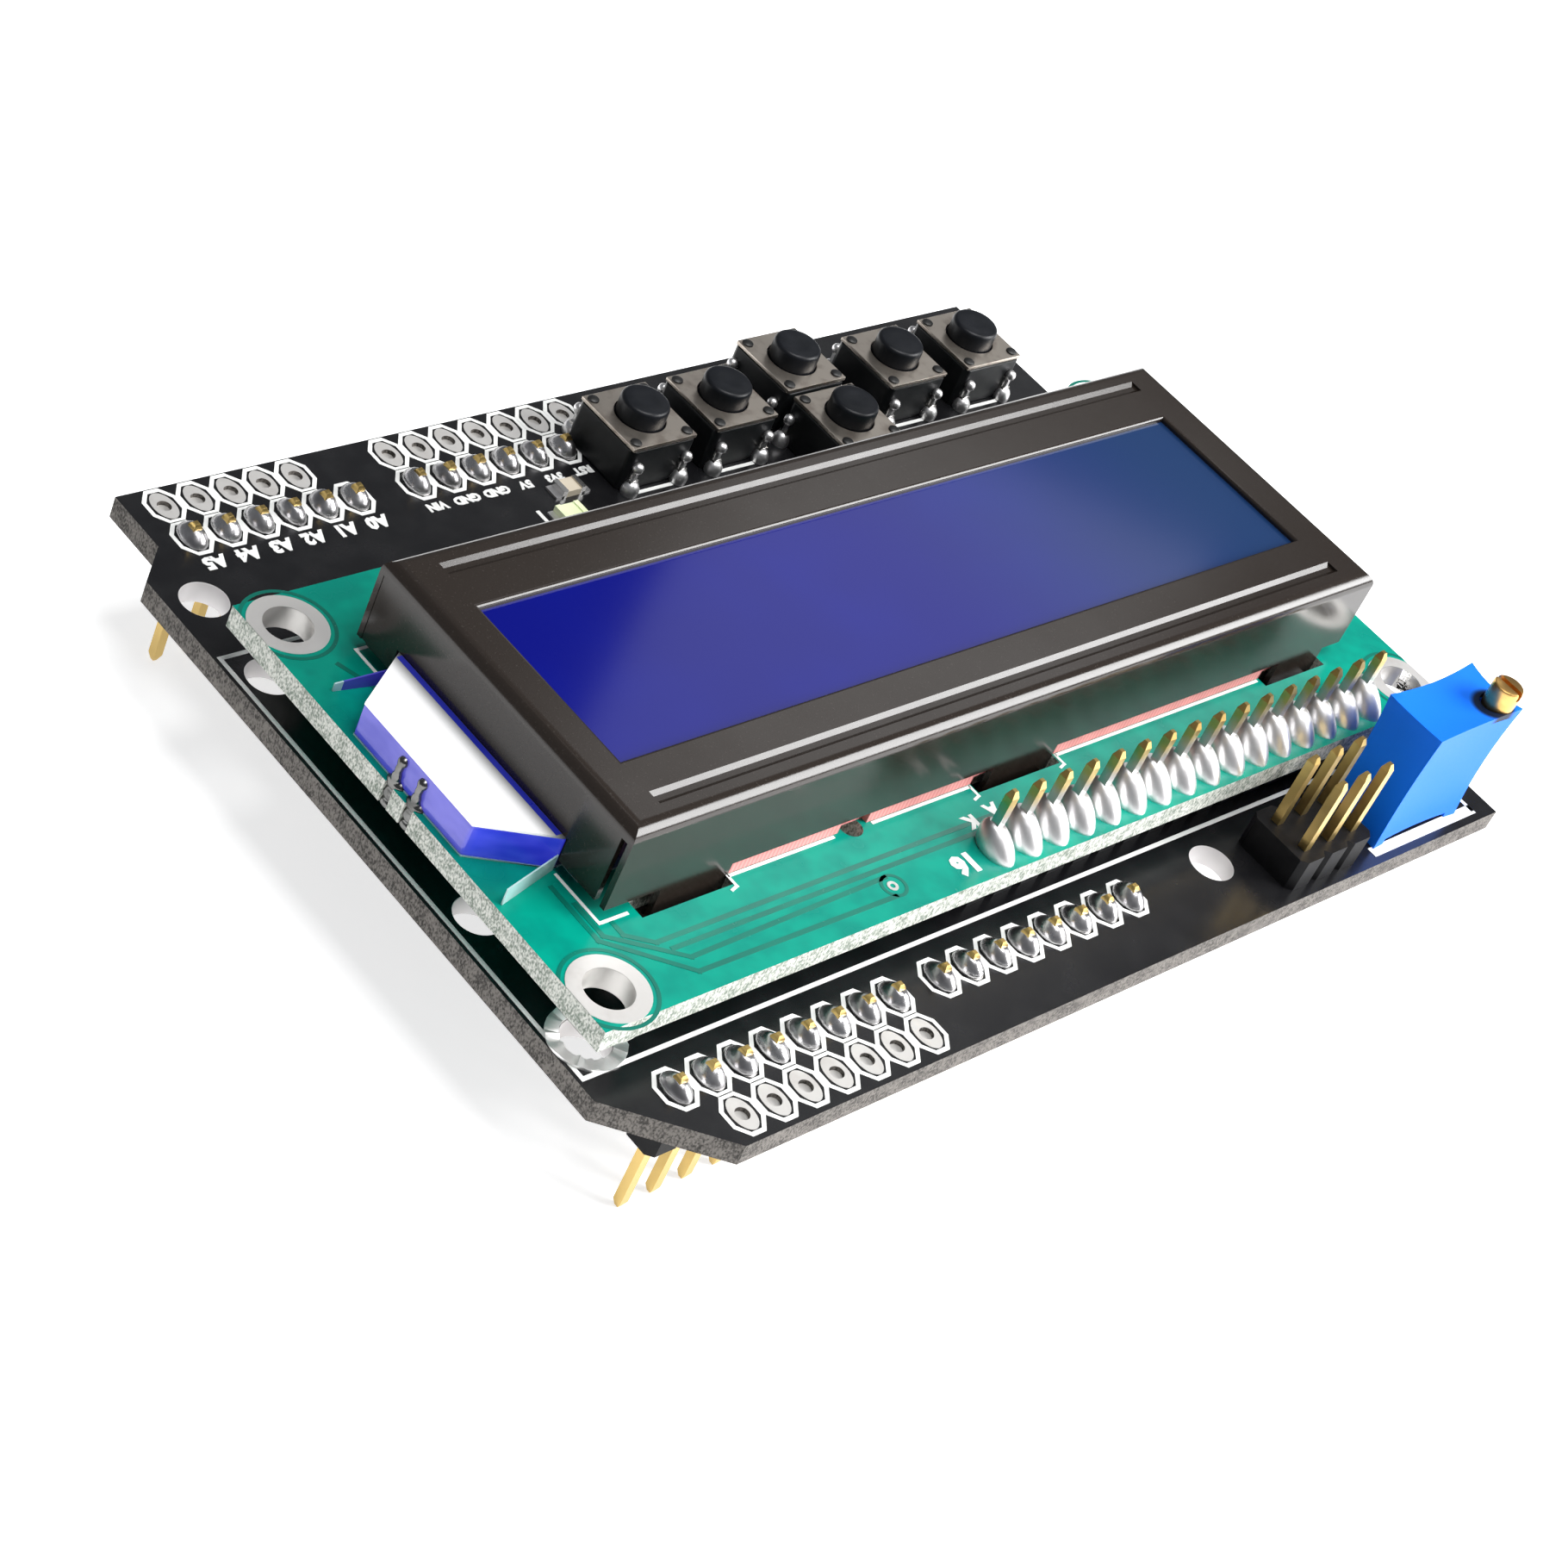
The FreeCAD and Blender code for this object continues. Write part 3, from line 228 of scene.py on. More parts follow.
# %% Painted bezel
paint = Finish("black painted sheet", (0.020, 0.015, 0.012), 0.2)
cloud = paint.noise(5.0, 3.0)
grit = paint.noise(0.18, 2.0)
paint.feed("Roughness", cloud * 0.10 + 0.13)
flecks = paint.step(grit, 0.62, 0.72)
paint.feed("Base Color", paint.mix(flecks, (0.020, 0.015, 0.012), (0.034, 0.028, 0.024)))
paint.dent(cloud * 0.7 + grit * 0.3, 0.012, 0.25)
finishes["black_sheet"] = paint
print("painted sheet")

# %% [markdown]
# The window is a blue polarising film over glass. Its colour drifts along the panel, from clear deep
# blue at the backlight's end to a greyer teal at the far end.

# %% Display window
film = Finish("blue polariser", (0.0, 0.004, 0.26), 0.09, Specular_IOR_Level=0.34)
drift = film.step(film.along("X"), -0.030, 0.004)
cloud = film.noise(14.0, 2.0)
near_end = film.mix(film.step(cloud, 0.3, 0.8), (0.0, 0.002, 0.145), (0.0, 0.004, 0.185))
film.feed("Base Color", film.mix(drift, (0.010, 0.032, 0.10), near_end))
finishes["polariser"] = film

glass = Finish("display glass", (0.55, 0.70, 0.66), 0.08)
edge_tint = glass.noise(1.5, 2.0)
glass.feed("Base Color", glass.mix(edge_tint, (0.45, 0.62, 0.58), (0.65, 0.78, 0.74)))
finishes["cell_glass"] = glass
print("window and glass")

# %% [markdown]
# The backlight is a milky block whose sides are violet-blue with the film behind it, under a sheet
# so white that it has almost no tone. Both carry a painted glow, a faint light of their own which
# stands for the daylight that they gather, and painted shade where the bezel covers them. Thin film
# shows at the block's foot. The contact strips are silicone rubber in hair-thin layers, so their
# pink has fine stripes.

# %% Backlight and rubber
SHADE_END, FULL_LIGHT = 0.0346, 0.0364
guide = Finish("milky light guide", (0.12, 0.11, 0.62), 0.16, Coat_Weight=0.3, Emission_Strength=0.5)
streak = guide.noise(3.5, 2.0, (1.0, 1.0, 2.0))
pale_side = guide.mix(guide.step(streak, 0.3, 0.7), (0.040, 0.040, 0.36), (0.095, 0.09, 0.47))
deep_side = guide.mix(guide.step(streak, 0.3, 0.7), (0.020, 0.028, 0.50), (0.055, 0.065, 0.62))
front = guide.step(guide.along("Y"), 0.0071, 0.0077)
# Painted shade: inside the bezel the block turns near black, as if the bezel shaded it.
inside = guide.along("X") < SHADE_END
glow = guide.mix(inside, guide.mix(front, pale_side, deep_side), (0.004, 0.004, 0.012))
guide.feed("Base Color", glow)
# Painted glow: the block's colour also feeds its emission, so it gives a faint light of its own.
guide.feed("Emission Color", glow)
finishes["light_guide"] = guide

# Painted glow: the sheet's colour also feeds its emission.
white = Finish("white sheet", (0.88, 0.88, 0.88), 0.5, Emission_Color=(1.0, 1.0, 1.0, 1.0),
               Emission_Strength=0.38)
paper = white.mix(white.noise(3.0), (0.90, 0.90, 0.90), (0.84, 0.84, 0.85))
# Painted shadow of the bezel: a dark band at the bezel's edge that fades to the sheet's own colour.
lit = white.step(white.along("X"), SHADE_END, FULL_LIGHT) + (white.along("X") < 0.0343)
sheet = white.mix(lit, (0.03, 0.03, 0.035), paper)
white.feed("Base Color", sheet)
white.feed("Emission Color", sheet)
finishes["white_sheet"] = white

pale = Finish("pale film", (0.42, 0.66, 0.66), 0.18)
clear = pale.mix(pale.noise(1.2), (0.36, 0.60, 0.60), (0.62, 0.80, 0.80))
back_ear = (pale.along("Y") < -0.0056) * (pale.along("X") < 0.0378)
pale.feed("Base Color", pale.mix(back_ear, clear, (0.09, 0.085, 0.52)))
finishes["pale_film"] = pale

rubber = Finish("striped pink rubber", (0.87, 0.30, 0.29), 0.55)
layers = rubber.node("ShaderNodeTexWave", {"bands_direction": "X"},
                     {"Vector": rubber.place(), "Scale": 900.0, "Distortion": 0.4})
rubber.feed("Base Color", rubber.mix(layers, (0.80, 0.24, 0.24), (0.90, 0.40, 0.38)))
finishes["pink_rubber"] = rubber
print("backlight and rubber")

# %% [markdown]
# Mouldings are flat colour with a faint grain from the mould. One function makes them all, so each
# has its own colour, gloss and grain size.


# %% Mouldings
def moulding(name, color, light, roughness, grain_mm, coat=0.0, sheen=0.5):
    finish = Finish(name, color, roughness, Coat_Weight=coat, Specular_IOR_Level=sheen)
    grain = finish.noise(grain_mm, 3.0)
    cloud = finish.noise(grain_mm * 12, 2.0)
    finish.feed("Base Color", finish.mix(finish.step(cloud, 0.3, 0.75), color, light))
    finish.feed("Roughness", grain * 0.12 + (roughness - 0.06))
    finish.dent(grain, 0.006, 0.4)
    return finish


finishes["header_plastic"] = moulding("black header plastic", (0.006, 0.006, 0.007), (0.010, 0.010, 0.011),
                                      0.5, 0.10, sheen=0.1)
finishes["key_plastic"] = moulding("black key housing", (0.007, 0.008, 0.009), (0.011, 0.012, 0.013),
                                   0.40, 0.12, sheen=0.25)
finishes["key_plunger"] = moulding("black key plunger", (0.005, 0.006, 0.008), (0.009, 0.010, 0.013),
                                   0.38, 0.12, sheen=0.22)
finishes["black_resin"] = moulding("black resin", (0.008, 0.008, 0.009), (0.014, 0.013, 0.013),
                                   0.2, 0.6, coat=0.3)
case_blue = moulding("blue trimmer case", (0.004, 0.15, 0.82), (0.008, 0.19, 0.90), 0.5, 0.15, sheen=0.2)
finishes["blue_plastic"] = case_blue
finishes["lamp_resin"] = moulding("pale lamp resin", (0.80, 0.92, 0.50), (0.90, 0.97, 0.66), 0.3, 0.3)
print("six mouldings")

# %% [markdown]
# Metals carry the picture's sparkle. Solder freezes with a slightly dimpled skin, and stains dull
# it in blotches. One function gives every metal its own colours, gloss and size of dimples.


# %% Metals
def metal(name, color, dull, roughness, dimple_mm, depth_mm, metallic=1.0):
    finish = Finish(name, color, roughness, metallic)
    dimple = finish.noise(dimple_mm, 2.0)
    stain = finish.noise(dimple_mm * 5, 3.0)
    finish.feed("Base Color", finish.mix(finish.step(stain, 0.45, 0.75), color, dull))
    finish.feed("Roughness", stain * 0.16 + (roughness - 0.08))
    finish.dent(dimple, depth_mm, 0.5)
    return finish


finishes["solder"] = metal("solder", (0.84, 0.83, 0.83), (0.56, 0.55, 0.56), 0.40, 0.45, 0.02)
# A darker copy of the solder for the header joints: painted shade, for the dim room that they mirror.
shaded_solder = metal("header solder with painted shade", (0.62, 0.61, 0.62), (0.34, 0.33, 0.34), 0.28, 0.4, 0.02)
finishes["tinned_metal"] = metal("tinned strip", (0.80, 0.79, 0.76), (0.58, 0.56, 0.52), 0.24, 0.3, 0.01)
finishes["brass"] = metal("brass", (0.82, 0.50, 0.17), (0.66, 0.38, 0.12), 0.30, 0.2, 0.008)
finishes["key_cover"] = metal("key cover plate", (0.62, 0.56, 0.49), (0.42, 0.36, 0.31), 0.36, 0.25, 0.006)
finishes["spring_steel"] = metal("spring steel", (0.70, 0.70, 0.70), (0.55, 0.55, 0.56), 0.25, 0.3, 0.005)
finishes["pad_tin"] = metal("tinned pad", (0.84, 0.82, 0.79), (0.70, 0.67, 0.64), 0.38, 0.5, 0.02, 0.65)
print("seven metals")

# %% [markdown]
# Pins are gold plate over brass. The display's pins were tinned by the solder that climbed up them,
# so a band between two heights turns grey, with a ragged upper end. The lamp's resistor is a pale
# ceramic chip with a metal cap at each end.

# %% Gold pins and the chip resistor
gold = Finish("gold plated pins", (0.86, 0.58, 0.16), 0.24, 1.0)
climb = gold.noise(0.9, 2.0)
CLIMB_LOW, CLIMB_HIGH = 0.0170, 0.0184
between = (gold.along("Y") > 0.015) * (gold.along("Y") < 0.0225) * (gold.along("Z") > 0.0125)
tin = between * (1 - gold.step(gold.along("Z") + climb * 0.001, CLIMB_LOW, CLIMB_HIGH))
finishes["gold_pins"] = gold
gold.feed("Base Color", gold.mix(tin, (0.66, 0.47, 0.17), (0.60, 0.59, 0.57)))
gold.feed("Roughness", climb * 0.15 + 0.26)

CHIP_X, CHIP_BARE = 0.0069, 0.0006
chip = Finish("chip resistor", (0.60, 0.53, 0.42), 0.5)
ends = abs(chip.along("X") - CHIP_X) > CHIP_BARE
chip.feed("Base Color", chip.mix(ends, (0.60, 0.53, 0.42), (0.80, 0.79, 0.77)))
chip.feed("Metallic", ends * 1.0)
chip.feed("Roughness", ends * -0.25 + 0.5)
finishes["resistor"] = chip
print("gold and chip")

# %% [markdown]
# Four more mouldings serve pieces that the frame doesn't have. Every solid of the frame then gets
# the finish that its record names.

# %% Finishes on the solids
print_white = moulding("white print", (0.80, 0.81, 0.79), (0.88, 0.88, 0.86), 0.5, 0.3)
track_green = moulding("dark green track edge", (0.002, 0.13, 0.095), (0.002, 0.17, 0.12), 0.25, 0.5)
black_dot = moulding("black rivet", (0.008, 0.008, 0.008), (0.012, 0.012, 0.012), 0.45, 0.2)
# The pale lining of the holes is partly the laminate's own tone and partly painted light from the table.
laminate_and_table_light = moulding("pale laminate and painted table light", (0.60, 0.58, 0.58), (0.74, 0.72, 0.72), 0.5, 0.3)
for row in frame["record"]["subparts"]:
    materials = nodes[row["node"]].data.materials
    materials.clear()
    materials.append(finishes[row["material_slot"]].material)
print(len(finishes), "finishes")

# %% [markdown]
# Pieces are drawn in millimetres in a bmesh and turned into objects by one function. It merges
# doubles, turns the faces outwards, scales to metres and marks the sharp edges. The object itself
# stays at the origin, so its material's pattern stays where it is.

# %% Drawing helpers
SHARP = math.radians(38)


def piece(name, bm, finish, body="shield", replaces=(), crisp=SHARP):
    """An object of the shield from a bmesh in millimetres. Edges that turn more than crisp stay crisp."""
    bmesh.ops.remove_doubles(bm, verts=bm.verts, dist=1e-4)
    bmesh.ops.recalc_face_normals(bm, faces=bm.faces)
    bmesh.ops.scale(bm, vec=(MM, MM, MM), verts=bm.verts)
    for face in bm.faces:
        face.smooth = True
    for edge in bm.edges:
        edge.smooth = edge.calc_face_angle(0.0) < crisp
    mesh = bpy.data.meshes.new(name)
    bm.to_mesh(mesh)
    bm.free()
    made = bpy.data.objects.new(name, mesh)
    bpy.context.scene.collection.objects.link(made)
    mesh.materials.append(finish.material)
    even = made.modifiers.new("even shading", "WEIGHTED_NORMAL")
    even.keep_sharp = True
    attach(made, body)
    if replaces:
        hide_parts(*replaces)
    print(name, len(mesh.polygons), "faces")
    return made


def raised(bm, faces, thick):
    """Flat faces grow upwards into a closed plate."""
    grown = bmesh.ops.extrude_face_region(bm, geom=faces, use_keep_orig=True)["geom"]
    lifted = [item for item in grown if isinstance(item, bmesh.types.BMVert)]
    bmesh.ops.translate(bm, vec=(0, 0, thick), verts=lifted)


def ring(bm, spot, outer, inner, thick, sides=32, turn=0.0):
    """A flat ring between two ovals, or between two polygons with few sides."""
    edges = set()
    for reach in (outer, inner):
        matrix = Matrix.Translation(spot) @ Matrix.Diagonal((*reach, 1, 1)) @ Matrix.Rotation(turn, 4, "Z")
        loop = bmesh.ops.create_circle(bm, segments=sides, radius=1.0, matrix=matrix)["verts"]
        edges.update(edge for vert in loop for edge in vert.link_edges)
    faces = bmesh.ops.bridge_loops(bm, edges=list(edges))["faces"]
    raised(bm, faces, thick)


def bar(bm, start, end, wide, low, thick, spare=0.5):
    """A straight printed stroke, longer than its two ends by a share of its width."""
    start, end = Vector(start), Vector(end)
    run = end - start
    middle = (start + end) / 2
    turn = Matrix.Rotation(math.atan2(run.y, run.x), 4, "Z")
    size = Matrix.Diagonal((run.length + 2 * spare * wide, wide, thick, 1))
    spot = Matrix.Translation((middle.x, middle.y, low + thick / 2))
    bmesh.ops.create_cube(bm, size=1.0, matrix=spot @ turn @ size)


def line(bm, points, wide, low, thick):
    """Strokes from point to point."""
    for number, (start, end) in enumerate(zip(points, points[1:])):
        bar(bm, start, end, wide, low, thick + 0.004 * (number % 2))


def stamp(bm, mesh, matrix):
    """Adds a copy of a small mesh at a place."""
    first = len(bm.verts)
    bm.from_mesh(mesh)
    bm.verts.ensure_lookup_table()
    bmesh.ops.transform(bm, matrix=matrix, verts=bm.verts[first:])


def turned(profile, steps=24):
    """A mesh turned about +Z from a half section of (radius, height) points."""
    bm = bmesh.new()
    verts = [bm.verts.new((radius, 0, height)) for radius, height in profile]
    edges = [bm.edges.new(pair) for pair in zip(verts, verts[1:])]
    bmesh.ops.spin(bm, geom=verts + edges, cent=(0, 0, 0), axis=(0, 0, 1), angle=math.tau,
                   steps=steps, use_merge=True)
    bmesh.ops.remove_doubles(bm, verts=bm.verts, dist=1e-4)
    bmesh.ops.recalc_face_normals(bm, faces=bm.faces)
    mesh = bpy.data.meshes.new("turned")
    bm.to_mesh(mesh)
    bm.free()
    return mesh


def solid_mm(node):
    """A copy of a solid of the frame, in millimetres."""
    bm = bmesh.new()
    bm.from_mesh(nodes[node].data)
    bmesh.ops.scale(bm, vec=(1 / MM, 1 / MM, 1 / MM), verts=bm.verts)
    return bm


def box_mm(node):
    low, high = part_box(node)
    return low / MM, high / MM


# %% [markdown]
# The frame tells where everything is. The pins of a header lie a pitch apart inside their box, so
# the places of all joints follow from the boxes of the pin nodes.

# %% Places
PITCH = 2.54
PIN = 0.64
TOP = box_mm("shield_board")[1].z
UNDER = box_mm("shield_board")[0].z
LCD_TOP = box_mm("display_board")[1].z
PRINT = 0.03
KEYS = ("select", "left", "up", "down", "right", "reset")
ROWS = ("digital_low", "digital_high", "analog", "power")


def pin_places(node):
    """The middle of each pin of a header, on plan."""
    low, high = box_mm(node)
    across = round((high.x - low.x) / PITCH) + 1
    deep = round((high.y - low.y) / PITCH) + 1
    return [(high.x - PIN / 2 - PITCH * step, high.y - PIN / 2 - PITCH * row)
            for row in range(deep) for step in range(across)]


joints = {row: pin_places(row + "_pins") for row in ROWS}
print({row: len(places) for row, places in joints.items()}, "joints, board top at", round(TOP, 2))

# %% [markdown]
# A plated pad is a thin oval of tin round its hole. Rows of spare pads lie outside the header rows,
# and the header joints stand on the same ovals.

# %% Plated pads
PAD = (0.80, 1.22)
PAD_HOLE = (0.48, 0.48)
SPARE_OUT = 3.07
SPARES = {"digital_low": (1, 7, 1), "analog": (0, 5, -1), "power": (0, 7, -1)}
spare_places = []
for row, (first, count, side) in SPARES.items():
    x, y = joints[row][0]
    spare_places += [(x - PITCH * (first + step), y + SPARE_OUT * side) for step in range(count)]
pads = bmesh.new()
for x, y in spare_places:
    ring(pads, (x, y, TOP), PAD, PAD_HOLE, PRINT)
    ring(pads, (x, y, UNDER - PRINT), PAD, PAD_HOLE, PRINT)
    bmesh.ops.create_cone(pads, cap_ends=True, segments=20, radius1=0.47, radius2=0.47, depth=0.5,
                          matrix=Matrix.Translation((x, y, TOP - 0.55)))
for row in ROWS:
    for x, y in joints[row]:
        ring(pads, (x, y, TOP), PAD, PAD_HOLE, PRINT)
piece("plated_pads", pads, finishes["pad_tin"])

# %% [markdown]
# White print outlines every pad with an eight-sided ring, the display with a thin rectangle and the
# trimmer with a bar. Print is modelled as plates three hundredths of a millimetre thick, so that it
# stays crisp in any view. The only lettering is each pin's number or what the pin carries.

# %% White print on the black board
OCTAGON = math.pi / 8
OCT_OUT = (1.365, 1.70)
OCT_IN = (1.07, 1.39)
silk = bmesh.new()
for x, y in spare_places + [spot for row in ROWS for spot in joints[row]]:
    ring(silk, (x, y, TOP), OCT_OUT, OCT_IN, PRINT, sides=8, turn=OCTAGON)
lcd_low, lcd_high = box_mm("display_board")
FRAME_IN = 0.2
frame_low = (lcd_low.x + FRAME_IN, lcd_low.y + FRAME_IN)
frame_high = (lcd_high.x - FRAME_IN, lcd_high.y - FRAME_IN)
corners = [frame_low, (frame_high[0], frame_low[1]), frame_high, (frame_low[0], frame_high[1]), frame_low]
line(silk, corners, 0.3, TOP, PRINT)
trim_low, trim_high = box_mm("trimmer_body")
bar(silk, (trim_low.x - 1.9, trim_high.y + 0.2), (trim_high.x + 0.4, trim_high.y + 0.2), 0.8,
    TOP, PRINT, 0)
bar(silk, (trim_low.x - 1.75, trim_high.y - 1.0), (trim_low.x - 1.75, trim_high.y + 0.4), 0.3,
    TOP, PRINT, 0)
KEY_MARK, KEY_MARK_OUT = 1.5, 3.45
for key in KEYS:
    low, high = box_mm(key + "_key_housing")
    middle = (low + high) / 2
    for side in (-KEY_MARK_OUT, KEY_MARK_OUT):
        bar(silk, (middle.x - KEY_MARK, middle.y + side), (middle.x + KEY_MARK, middle.y + side), 0.28,
            TOP, PRINT)
lamp = (box_mm("power_lamp")[0] + box_mm("power_lamp")[1]) / 2
bar(silk, (lamp.x + 2.0, lamp.y - 0.9), (lamp.x + 2.0, lamp.y + 0.9), 0.3, TOP, PRINT)
bar(silk, (lamp.x - 1.9, lamp.y - 2.2), (lamp.x - 1.3, lamp.y - 2.8), 0.35, TOP, PRINT)


def lettering(bm, words, x, y, low, high, bold=0.06):
    """Raised print of a pin's number or name, read with +Y up."""
    curve = bpy.data.curves.new("lettering", "FONT")
    curve.body = words
    curve.size = high
    curve.offset = bold * high
    curve.extrude = PRINT / 2
    curve.resolution_u = 2
    curve.align_x = "CENTER"
    curve.align_y = "CENTER"
    holder = bpy.data.objects.new("lettering", curve)
    bpy.context.scene.collection.objects.link(holder)
    mesh = bpy.data.meshes.new_from_object(holder)
    stamp(bm, mesh, Matrix.Translation((x, y, low + PRINT / 2)))
    bpy.data.objects.remove(holder)


for number, (x, y) in enumerate(joints["analog"]):
    lettering(silk, f"A{5 - number}", x - 0.1, y + 2.35, TOP, 1.4)
for words, (x, y) in zip(("VIN", "GND", "GND", "5V", "3V3", "RST"), joints["power"]):
    lettering(silk, words, x, y + 2.3, TOP, 0.95)
piece("white_print", silk, print_white)

# %% [markdown]
# A solder joint made by hand swells over its pad and narrows as it climbs the pin. It is turned
# from a curved section, and each copy is turned, stretched and leaned a little, from seeded random
# numbers.

# %% Solder joints on the header rows
random.seed(7)
CONE = [(1.0, 0.0), (0.99, 0.14), (0.92, 0.34), (0.78, 0.54), (0.62, 0.72), (0.48, 0.86), (0.36, 0.92),
        (0.0, 0.94)]
cone = turned(CONE)
for row in ROWS:
    bm = bmesh.new()
    for x, y in joints[row]:
        turn = Matrix.Rotation(random.uniform(0, math.tau), 4, "Z")
        size = Matrix.Diagonal((random.uniform(0.80, 0.88), random.uniform(1.16, 1.26),
                                random.uniform(0.9, 1.05), 1))
        lean = Matrix.Shear("XY", 4, (random.uniform(-0.12, 0.12), random.uniform(-0.12, 0.18)))
        stamp(bm, cone, Matrix.Translation((x, y, TOP + PRINT)) @ lean @ size @ turn)
    piece(row + "_round_solder", bm, shaded_solder, replaces=(row + "_solder",))

# %% [markdown]
# The display's joints are taller, because solder was fed from the front edge: each is a tongue that
# lies towards the edge of the board and climbs high up its pin.

# %% Solder joints on the display board
TONGUE = [(1.0, 0.0), (1.02, 0.2), (0.98, 0.6), (0.88, 1.0), (0.72, 1.4), (0.54, 1.68), (0.38, 1.84),
          (0.0, 1.88)]
tongue = turned(TONGUE)
bm = bmesh.new()
for x, y in pin_places("display_pins"):
    size = Matrix.Diagonal((random.uniform(1.0, 1.1), 1.5, random.uniform(0.9, 1.08), 1))
    lean = Matrix.Shear("XY", 4, (random.uniform(-0.06, 0.06), -0.42))
    stamp(bm, tongue, Matrix.Translation((x, y + 0.75, LCD_TOP)) @ lean @ size)
piece("display_round_solder", bm, finishes["solder"], replaces=("display_solder",))

# %% [markdown]
# Under the board, every leg and pin that comes through ends in a small dome of solder on a round
# pad. They show only from below, but a part is turned over in the hand before it is fitted.

# %% Solder under the board
DOME = [(0.95, 0.0), (0.85, -0.2), (0.6, -0.55), (0.42, -0.95), (0.3, -1.1), (0.0, -1.15)]
dome = turned(DOME)
bm = bmesh.new()
LEG_HALF = (0.35, 0.15)
TRIM_PIN_IN = 2.415
leg_places = []
for key in KEYS:
    low, high = box_mm(key + "_key_legs")
    wide, deep = LEG_HALF if high.y - low.y > high.x - low.x else LEG_HALF[::-1]
    leg_places += [(x, y) for x in (low.x + wide, high.x - wide) for y in (low.y + deep, high.y - deep)]
low, high = box_mm("trimmer_pins")
trim_pins = [((low.x + high.x) / 2 + step * PITCH, trim_low.y + TRIM_PIN_IN) for step in (-1, 0, 1)]
for x, y in pin_places("display_pins") + pin_places("programming_pins") + leg_places + trim_pins:
    size = Matrix.Diagonal((random.uniform(0.88, 1.0), random.uniform(0.88, 1.0), random.uniform(0.9, 1.1), 1))
    stamp(bm, dome, Matrix.Translation((x, y, UNDER)) @ size)
piece("under_solder", bm, finishes["solder"])

# %% [markdown]
# On top, each key's leg leaves the housing at a bright knuckle, runs down and ends in a bead of
# solder.

# %% Solder beads at the keys' legs
BEAD = [(0.0, 0.0), (0.62, 0.0), (0.66, 0.25), (0.62, 0.55), (0.46, 0.85), (0.24, 1.0), (0.0, 1.04)]
KNUCKLE = [(0.0, -0.44), (0.24, -0.36), (0.38, -0.16), (0.40, 0.05), (0.32, 0.26), (0.16, 0.38),
           (0.0, 0.41)]
KNUCKLE_HIGH = 2.1
bead, knuckle = turned(BEAD, 16), turned(KNUCKLE, 16)
bm = bmesh.new()
for x, y in leg_places:
    stamp(bm, bead, Matrix.Translation((x, y, TOP)))
    stamp(bm, knuckle, Matrix.Translation((x, y, TOP + KNUCKLE_HIGH)))
    bmesh.ops.create_cube(bm, size=1.0, matrix=Matrix.Translation((x, y, TOP + KNUCKLE_HIGH / 2 + 0.5))
                          @ Matrix.Diagonal((0.26, 0.26, KNUCKLE_HIGH - 1.0, 1)))
piece("leg_beads", bm, finishes["solder"])

# %% [markdown]
# The screw holes of the display board are plated: a wide tin ring on the lacquer, clipped by the
# board's end, a tin lining in the hole, and a dark clearance line in the lacquer round the ring.

# %% Plated screw holes
HOLE = 1.6
LINING = HOLE - 0.03
RING = 2.55
FAINT = PRINT * 0.6


def clip_ends(bm):
    """Cuts away what passes the display board's two ends."""
    for side, limit in ((1, lcd_high.x), (-1, lcd_low.x)):
        bmesh.ops.bisect_plane(bm, geom=bm.verts[:] + bm.edges[:] + bm.faces[:], plane_co=(limit, 0, 0),
                               plane_no=(side, 0, 0), clear_outer=True)


hole_spots = [(x, y) for x in (-37.5, 37.5) for y in (-12.1, 18.9)]
bm = bmesh.new()
for x, y in hole_spots:
    for low in (LCD_TOP, lcd_low.z - PRINT):
        ring(bm, (x, y, low), (RING, RING), (LINING, LINING), PRINT, 48)
    ring(bm, (x, y, lcd_low.z), (HOLE, HOLE), (LINING, LINING), LCD_TOP - lcd_low.z, 48)
clip_ends(bm)
piece("plated_holes", bm, finishes["pad_tin"])
clearance = bmesh.new()
for x, y in hole_spots:
    ring(clearance, (x, y, LCD_TOP), (3.05, 3.05), (2.8, 2.8), FAINT, 48)
clip_ends(clearance)

# %% [markdown]
# Copper tracks run under the green lacquer. They show as thin darker lines along their edges, with
# 45 degree bends and a round end at the via.

# %% Track edges on the green board
TRACK = 0.34
tracks = [
    [(35.7, 11.4), (35.7, 15.8), (31.5, 19.95), (15.4, 20.1)],
    [(35.2, 13.0), (35.2, 15.6), (31.2, 18.9), (15.0, 18.6)],
    [(34.0, 14.9), (34.0, 16.0), (32.5, 17.2), (3.0, 17.2)],
    [(31.8, 17.95), (3.0, 18.0)],
    [(35.7, 7.5), (35.7, -6.0), (36.6, -8.2)],
]
for points in tracks:
    line(clearance, points, TRACK, LCD_TOP, FAINT)
VIA = (14.9, 19.35)
ring(clearance, (*VIA, LCD_TOP), (0.95, 0.95), (0.72, 0.72), FAINT, 24)
piece("track_edges", clearance, track_green)
via = bmesh.new()
ring(via, (VIA[0] + 0.1, VIA[1], LCD_TOP), (0.38, 0.38), (0.18, 0.18), PRINT, 20)
piece("via_ring", via, finishes["pad_tin"])

# %% [markdown]
# The green board's own print marks the corners of the bezel, the edge of the contact strips and the
# slots, and numbers the last pins of the header.

